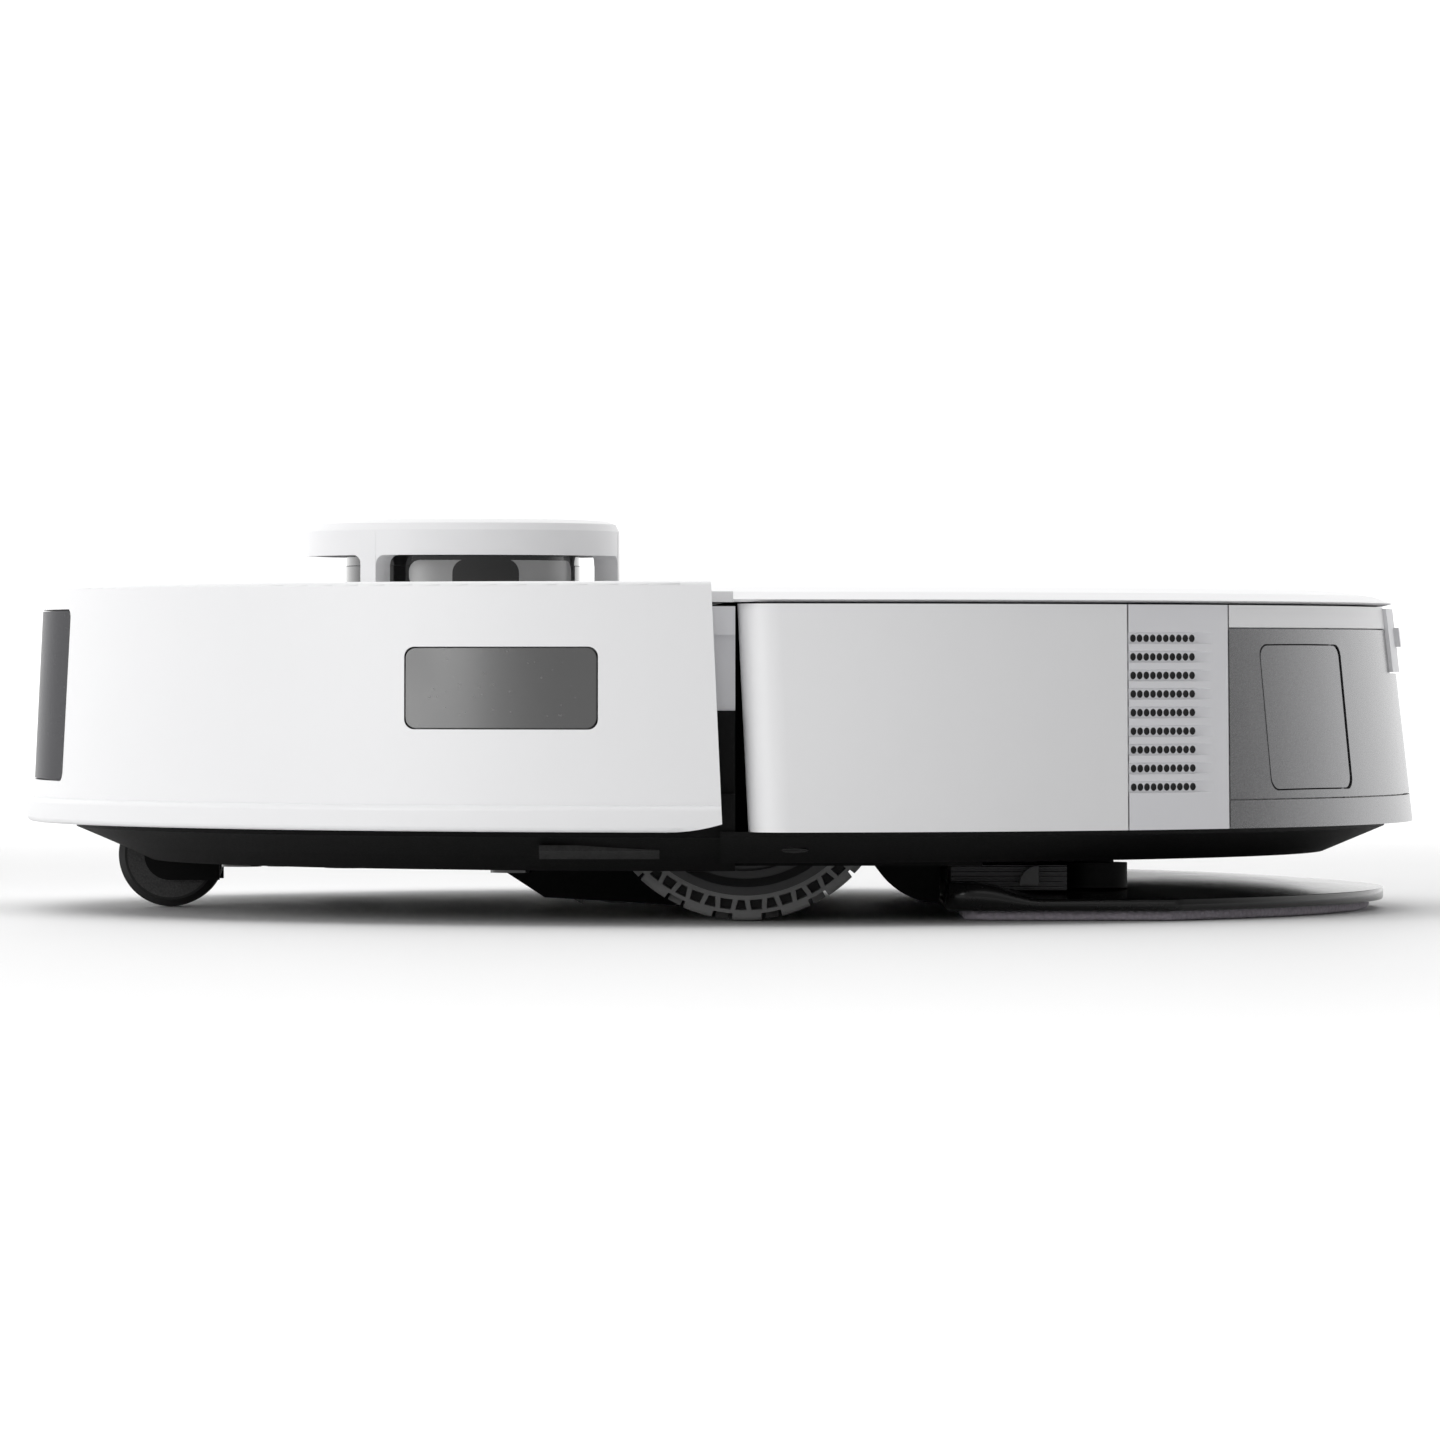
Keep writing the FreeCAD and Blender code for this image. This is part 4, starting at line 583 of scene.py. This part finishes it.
def dOutline(half, front, radius, corner, count):
    # a straight front and sides with an arc behind, its front corners rounded, at even steps of angle
    # about a middle point: each step goes out until it meets the nearest side
    middle = np.array([0, (front + radius) / 2])
    angle = np.linspace(0, 2 * math.pi, count, endpoint=False)
    way = np.stack([np.cos(angle), np.sin(angle)], -1)
    with np.errstate(divide="ignore"):
        toSide = np.where(np.abs(way[:, 0]) > 1e-9, half / np.abs(way[:, 0]), 9)
        toFront = np.where(way[:, 1] < -1e-9, (front - middle[1]) / way[:, 1], 9)
    along = middle[1] * way[:, 1]
    toArc = -along + np.sqrt(along ** 2 + radius ** 2 - middle[1] ** 2)
    reach = np.minimum(np.minimum(toSide, toFront), toArc)
    points = middle + way * reach[:, None]
    # front corners: points inside a corner's square move onto its arc
    centre = np.array([half - corner, front + corner])
    offset = np.stack([np.abs(points[:, 0]) - centre[0], centre[1] - points[:, 1]], -1)
    inside = (offset > 0).all(-1)
    length = np.hypot(offset[:, 0], offset[:, 1])
    rounded = np.stack([np.sign(points[:, 0]) * (centre[0] + offset[:, 0] / length * corner),
                        centre[1] - offset[:, 1] / length * corner], -1)
    return np.where(inside[:, None], rounded, points), middle


def mopPlate():
    # Rings of the outline drawn in to the middle. The top's height is the rim's, plus a crown that rises with
    # the distance from the rim, giving way to a raised lip along the front edge.
    low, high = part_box("mop_plate")
    outline, middle = dOutline(high.x, low.y, high.y, mop["corner"], mop["around"])
    shares = 1 - np.linspace(0, 1, mop["rings"]) ** 1.6
    shares[-1] = 0.004
    base = low.z

    def top(points):
        fromArc = high.y - np.hypot(points[..., 0], points[..., 1])
        fromSide = high.x - np.abs(points[..., 0])
        toRim = 1 - np.clip(np.minimum(fromArc, fromSide) / mop["crownReach"], 0, 1)
        rise = 1 - toRim ** 2
        lip = 1 - ease((points[..., 1] - low.y - mop["lipFlat"]) / mop["lipReach"])
        return mop["rimHigh"] + mop["crown"] * rise * (1 - lip) + mop["lipRise"] * lip

    rings = middle + (outline - middle)[None] * shares[:, None, None]
    height = top(rings)
    limit = high.z - 0.0001
    upper = np.concatenate([rings, np.minimum(height, limit)[..., None]], -1)
    edge = outline[None] + (middle - outline)[None] * np.array([0.004, 0.0])[:, None, None]
    edgeHeight = np.stack([top(outline), top(outline) - mop["edgeRound"]])
    upper[0, :, 2] = edgeHeight[0]
    upper[0, :, :2] = edge[0]
    wallTop = np.concatenate([edge[1], edgeHeight[1][:, None]], -1)[None]
    wallLow = np.concatenate([edge[1], np.full((mop["around"], 1), base + 0.5 * mm)], -1)[None]
    under = np.concatenate([edge[0], np.full((mop["around"], 1), base)], -1)[None]
    points = np.concatenate([upper[::-1], wallTop, wallLow, under], 0)
    mesh = gridMesh("mopPlate", points, False, True, caps=True)
    piece = finishMesh("mopPlateShell", mesh, "mop", ("mop_plate",), 60)
    dress(piece, "mop_gloss")
    return piece


def mopPad():
    # the same outline with a bulging cloth edge, its pile uneven by a sum of sine waves
    low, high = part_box("mop_pad")
    outline, middle = dOutline(high.x - 0.6 * mm, low.y + 0.6 * mm, high.y - 0.6 * mm, mop["corner"], 720)
    outward = outline - middle
    outward /= np.linalg.norm(outward, axis=1)[:, None]
    turn = np.linspace(0, 2 * math.pi, 720, endpoint=False)
    pile = (np.sin(turn * 97) + np.sin(turn * 151 + 1) + np.sin(turn * 233 + 2)) / 3
    rows = []
    thick = high.z - low.z
    for share in np.linspace(0, 1, 9):
        bulge = 0.9 * mm * math.sin(share * math.pi) ** 0.5 + 0.18 * mm * pile * math.sin(share * math.pi)
        flat = outline + outward * np.broadcast_to(bulge, (720,))[:, None]
        rows.append(np.concatenate([flat, np.full((720, 1), low.z + thick * share)], -1))
    mesh = gridMesh("mopPad", np.stack(rows), False, True, caps=True)
    piece = finishMesh("mopPadCloth", mesh, "mop", ("mop_pad",), 70)
    dress(piece, "pad_cloth")


mopPlate()
mopPad()
print("mop made")


# mop carrier: ribs and a quarter knob in front of each post

carrier = dict(front=56 * mm, rear=84 * mm, inner=84 * mm, outer=116 * mm, low=7.0 * mm, high=13.0 * mm,
               ribs=5,
               ribDeep=1.1 * mm, knobRadius=4.6 * mm, knobY=77 * mm, knobLow=8.4 * mm, knobWide=4 * mm)


def ribbedBlock(side):
    # A section of waves in height, carried along Y.
    way = 1 if side == "left" else -1
    rows = carrier["ribs"] * 6 + 1
    share = np.linspace(0, 1, rows)
    wave = carrier["ribDeep"] * ease(0.5 + 1.4 * np.cos(share * carrier["ribs"] * 2 * math.pi))
    z = carrier["low"] + (carrier["high"] - carrier["low"]) * share
    x = np.concatenate([carrier["outer"] - wave, [carrier["inner"], carrier["inner"]]]) * way
    z = np.concatenate([z, [carrier["high"], carrier["low"]]])
    y = np.array([carrier["front"], carrier["rear"]])
    points = np.stack([np.broadcast_to(x, (2, len(x))), np.broadcast_to(y[:, None], (2, len(x))),
                       np.broadcast_to(z, (2, len(x)))], -1)
    ribs = gridMesh("ribs", points, False, True, caps=True)
    turn = np.linspace(0, math.pi / 2, 13)
    knobY = np.concatenate([carrier["knobY"] - carrier["knobRadius"] * np.cos(turn), [carrier["knobY"]]])
    knobZ = carrier["knobLow"] + np.concatenate([carrier["knobRadius"] * np.sin(turn), [0]])
    ends = np.array([carrier["outer"] - 3 * mm, carrier["outer"] + carrier["knobWide"]]) * way
    knob = np.stack([np.broadcast_to(ends[:, None], (2, 14)), np.broadcast_to(knobY, (2, 14)),
                     np.broadcast_to(knobZ, (2, 14))], -1)
    mesh = joinMeshes("carrier", [ribs, gridMesh("knob", knob, False, True, caps=True)])
    piece = finishMesh(f"mopCarrier_{side}", mesh, "mop", (), 35)
    dress(piece, "dark_plastic")


for side in ("left", "right"):
    ribbedBlock(side)


# chassis details: an oval button on each flank

dimple = dict(y=17.7 * mm, z=17.6 * mm, longHalf=3.3 * mm, shortHalf=1.3 * mm, deep=0.45 * mm,
              radius=161.6 * mm,
              slope=math.atan2(15.5, 6.5))


def ovalButton(side):
    # A flattened ellipsoid lying on the sloping lower wall.
    way = 1 if side == "left" else -1
    rise = np.linspace(0.02, math.pi - 0.02, 17)[:, None]
    turn = np.linspace(0, 2 * math.pi, 40, endpoint=False)[None, :]
    along = dimple["longHalf"] * np.sin(rise) * np.cos(turn)
    up = dimple["shortHalf"] * np.sin(rise) * np.sin(turn)
    out = dimple["deep"] * np.cos(rise) + 0 * turn
    lean = dimple["slope"]
    x = math.sqrt(dimple["radius"] ** 2 - dimple["y"] ** 2)
    outward = out * math.cos(lean) + up * math.sin(lean)
    height = -out * math.sin(lean) + up * math.cos(lean)
    points = np.stack([way * (x + outward), dimple["y"] + along, dimple["z"] + height], -1)
    mesh = gridMesh("button", points, False, True, caps=True)
    piece = finishMesh(f"flankButton_{side}", mesh, "body", (), 60)
    dress(piece, "mop_gloss")


for side in ("left", "right"):
    ovalButton(side)


# roller fins: six that twist to a chevron

fins = dict(count=6, twist=1.1, thick=1.7 * mm, along=80)


def rollerFins():
    # Each fin is a blade's section carried along the axle, turned by a share of its distance from the middle.
    low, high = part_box("roller_fins")
    coreLow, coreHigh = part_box("roller_core")
    centre = (coreLow + coreHigh) / 2
    inner = (coreHigh.z - coreLow.z) / 2 - 0.3 * mm
    outer = (high.z - low.z) / 2
    x = np.linspace(low.x, high.x, fins["along"])
    twist = fins["twist"] * np.abs(x) / high.x
    meshes = []
    radius = np.array([inner, outer - 0.8 * mm, outer - 0.15 * mm, outer - 0.15 * mm, outer - 0.8 * mm,
                       inner])
    half = np.array([1.3, 0.7, 0.35, -0.35, -0.7, -1.3]) * fins["thick"] / 2
    sweep = np.array([0, 0.10, 0.13, 0.13, 0.10, 0])
    for number in range(fins["count"]):
        angle = twist[:, None] + number * 2 * math.pi / fins["count"] + (half / radius + sweep)[None, :]
        points = np.stack([np.broadcast_to(x[:, None], angle.shape), centre.y + radius * np.cos(angle),
                           centre.z + radius * np.sin(angle)], -1)
        meshes.append(gridMesh("fin", points, False, True, caps=True))
    piece = finishMesh("spiralFins", joinMeshes("spiralFins", meshes), "roller",
                       ("roller_fins",), 35)
    dress(piece, "fin_rubber")


rollerFins()


# side brush tufts

tuft = dict(hairs=46, thick=0.16 * mm, spread=3.4 * mm, drop=0.4 * mm)


def sideBrush():
    # Each hair is a three-sided tube from the hub, fanning out sideways and drooping with the fourth power of
    # its length.
    low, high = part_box("side_brush_bristles")
    middle = (low + high) / 2
    hubLow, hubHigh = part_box("side_brush_hub")
    hubR = (hubHigh.y - hubLow.y) / 2 - 0.8 * mm
    reach = (high.y - low.y) / 2
    draw = np.random.default_rng(7)
    share = np.linspace(0, 1, 9)
    meshes = []
    for way in (-1, 1):
        for _ in range(tuft["hairs"]):
            aside = draw.uniform(-1, 1)
            rise = draw.uniform(-1, 1)
            length = (reach - hubR) * draw.uniform(0.93, 1)
            y = middle.y + way * (hubR + length * share)
            x = middle.x + aside * (0.9 * mm + tuft["spread"] * share ** 1.5)
            z = middle.z + rise * 0.5 * mm - tuft["drop"] * share ** 4
            turn = np.array([0, 2.1, 4.2])
            points = np.stack([x[:, None] + tuft["thick"] * np.cos(turn), np.broadcast_to(y[:, None], (9, 3)),
                               z[:, None] + tuft["thick"] * np.sin(turn)], -1)
            meshes.append(gridMesh("hair", points, False, True, caps=True))
    piece = finishMesh("brushTufts", joinMeshes("brushTufts", meshes), "side_brush",
                       ("side_brush_bristles",), 80)
    dress(piece, "bristle")


sideBrush()
print("brushes made")


# scanner windows: a pale curved pane set on the rotor and a black lens patch proud of it

pane = dict(turn=0.37, half=0.81, low=81 * mm, high=88 * mm, proud=0.12 * mm, corner=3 * mm)
lens = dict(turn=0.229, half=0.288, low=79 * mm, high=88.2 * mm, proud=0.24 * mm, corner=3.5 * mm)

crown = dict(inset=0.15 * mm, sunk=2 * mm, rise=1.6 * mm, edge=0.6 * mm, sides=96)


def rotorPatch(name, sizes, paint):
    # A patch of the rotor's cylinder with rounded corners, a thin plate closed behind. The inset at a height
    # is the corner less the root of corner squared less (corner less the distance to the nearer end) squared.
    low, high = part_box("turret_rotor")
    middle = (low + high) / 2
    radius = (high.x - low.x) / 2
    across = np.linspace(-1, 1, 61)
    tall = sizes["high"] - sizes["low"]
    corner = sizes["corner"]
    up = tall * (1 - np.cos(np.pi * np.linspace(0, 1, 25))) / 2
    fromEnd = np.minimum(np.minimum(up, tall - up), corner)
    inset = corner - np.sqrt(corner ** 2 - (corner - fromEnd) ** 2)
    half = sizes["half"] - inset / radius
    turn = sizes["turn"] + across[None, :] * half[:, None]
    z = np.broadcast_to((sizes["low"] + up)[:, None], turn.shape)

    def shell(reach):
        return np.stack([middle.x + reach * np.cos(turn), middle.y + reach * np.sin(turn), z], -1)

    outer = shell(radius + sizes["proud"])
    inner = shell(radius - 0.4 * mm)[:, ::-1]
    mesh = gridMesh(name, np.concatenate([outer, inner], 1), False, True, caps=True)
    piece = finishMesh(name, mesh, "turret_rotor", (), 40)
    piece.data.materials.clear()
    piece.data.materials.append(paint)


def paneLook():
    paint = Paint("scannerPane", Metallic=0.6, Coat_Weight=0.5, Coat_Roughness=0.1)
    cloud = paint.noise(30, 2)
    paint.set(Base_Color=paint.mix(cloud, grey(0.34), grey(0.42)), Roughness=cloud * 0.05 + 0.3)
    return paint.material


def rotorCrown():
    # The rotor's black upper rim, a short disc standing up into the cap's hollow. A ring of radii and heights
    # turned about the rotor's axis.
    low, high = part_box("turret_rotor")
    middle = (low + high) / 2
    rim = (high.x - low.x) / 2 - crown["inset"]
    profile = np.array([(rim, high.z - crown["sunk"]), (rim, high.z + crown["rise"]),
                        (rim - crown["edge"], high.z + crown["rise"] + crown["edge"])])[:, None]
    turn = np.linspace(0, 2 * np.pi, crown["sides"], endpoint=False)[None, :]
    points = np.stack([middle.x + profile[..., 0] * np.cos(turn), middle.y + profile[..., 0] * np.sin(turn),
                       np.broadcast_to(profile[..., 1], (len(profile), crown["sides"]))], -1)
    mesh = gridMesh("rotorCrown", points, False, True, caps=True)
    piece = finishMesh("rotorCrown", mesh, "turret_rotor", (), 40)
    dress(piece, "rotor_gloss")


rotorCrown()
rotorPatch("scannerPane", pane, paneLook())
rotorPatch("lensPatch", lens, looks["rotor_gloss"])


# floor, lights and camera

stageSizes = dict(floor=3.0, fadeStart=0.35, fadeEnd=1.5, camera=(2.18, 0.0, 0.0615), lens=213.2,
                  shift=-55 / 1440)


def plainFloor():
    size = stageSizes["floor"]
    grid = np.linspace(-size, size, 3)
    x, y = np.meshgrid(grid, grid)
    mesh = gridMesh("floor", np.stack([x, y, np.full(x.shape, -0.0002)], -1))
    floor = bpy.data.objects.new("floor", mesh)
    bpy.context.scene.collection.objects.link(floor)
    paint = Paint("paleFloor", Roughness=0.55, Specular_IOR_Level=0.2)
    cloud = paint.noise(3, 2)
    reach = paint.add("ShaderNodeVectorMath", {"operation": "LENGTH"}, {0: paint.place()}, 1)
    fade = paint.add("ShaderNodeMapRange", {"interpolation_type": "SMOOTHSTEP"},
                     {0: reach, 1: stageSizes["fadeStart"], 2: stageSizes["fadeEnd"], 3: 1.0, 4: 0.0})
    paint.set(Base_Color=paint.mix(cloud, grey(0.86), grey(0.88)), Alpha=fade)
    floor.data.materials.append(paint.material)


def softLight(name, place, target, size, power, tint=(1, 1, 1)):
    light = bpy.data.lights.new(name, "AREA")
    light.shape = "RECTANGLE"
    light.size = size[0]
    light.size_y = size[1]
    light.energy = power
    light.color = tint
    lamp = bpy.data.objects.new(name, light)
    lamp.location = place
    lamp.rotation_euler = (Vector(target) - Vector(place)).to_track_quat("-Z", "Y").to_euler()
    bpy.context.scene.collection.objects.link(lamp)


plainFloor()
softLight("topPanel", (0.1, -0.1, 1.6), (0, 0, 0), (1.3, 1.3), 8)
softLight("keyPanel", (1.3, -1.75, 0.8), (0, -0.05, 0.05), (1.2, 1.0), 14)
softLight("fillPanel", (2.3, 0.3, 0.9), (0, 0.05, 0.04), (0.8, 0.6), 0.8)


def studioSky():
    # Brightest beyond the machine's right side; elsewhere dimmer, and dimmest towards its rear.
    world = bpy.data.worlds.new("studio")
    bpy.context.scene.world = world
    world.use_nodes = True
    tree = world.node_tree

    def link(kind, inputs, operation=None):
        node = tree.nodes.new(kind)
        if operation:
            node.operation = operation
        for name, amount in inputs.items():
            if hasattr(amount, "is_output"):
                tree.links.new(amount, node.inputs[name])
            else:
                node.inputs[name].default_value = amount
        return node

    way = link("ShaderNodeSeparateXYZ", {0: link("ShaderNodeTexCoord", {}).outputs["Generated"]})
    behind = link("ShaderNodeMapRange", {0: way.outputs["X"], 1: -0.05, 2: -0.7, 3: 0.0, 4: 0.85})
    aside = link("ShaderNodeMapRange", {0: way.outputs["Y"], 1: -1.0, 2: 1.0, 3: 0.62, 4: 0.3})
    total = link("ShaderNodeMath", {0: behind.outputs[0], 1: aside.outputs[0]}, "ADD")
    sky = next(node for node in tree.nodes if node.type == "BACKGROUND")
    sky.inputs["Color"].default_value = (1, 1, 1, 1)
    tree.links.new(total.outputs[0], sky.inputs["Strength"])


studioSky()
bpy.context.scene.view_settings.view_transform = "Standard"

camera = bpy.data.objects.new("camera", bpy.data.cameras.new("camera"))
camera.data.sensor_width = 36
camera.data.lens = stageSizes["lens"]
camera.data.shift_y = stageSizes["shift"]
camera.data.clip_end = 50
camera.location = stageSizes["camera"]
camera.rotation_euler = (math.pi / 2, 0, math.pi / 2)
bpy.context.scene.collection.objects.link(camera)
bpy.context.scene.camera = camera
print("stage made")
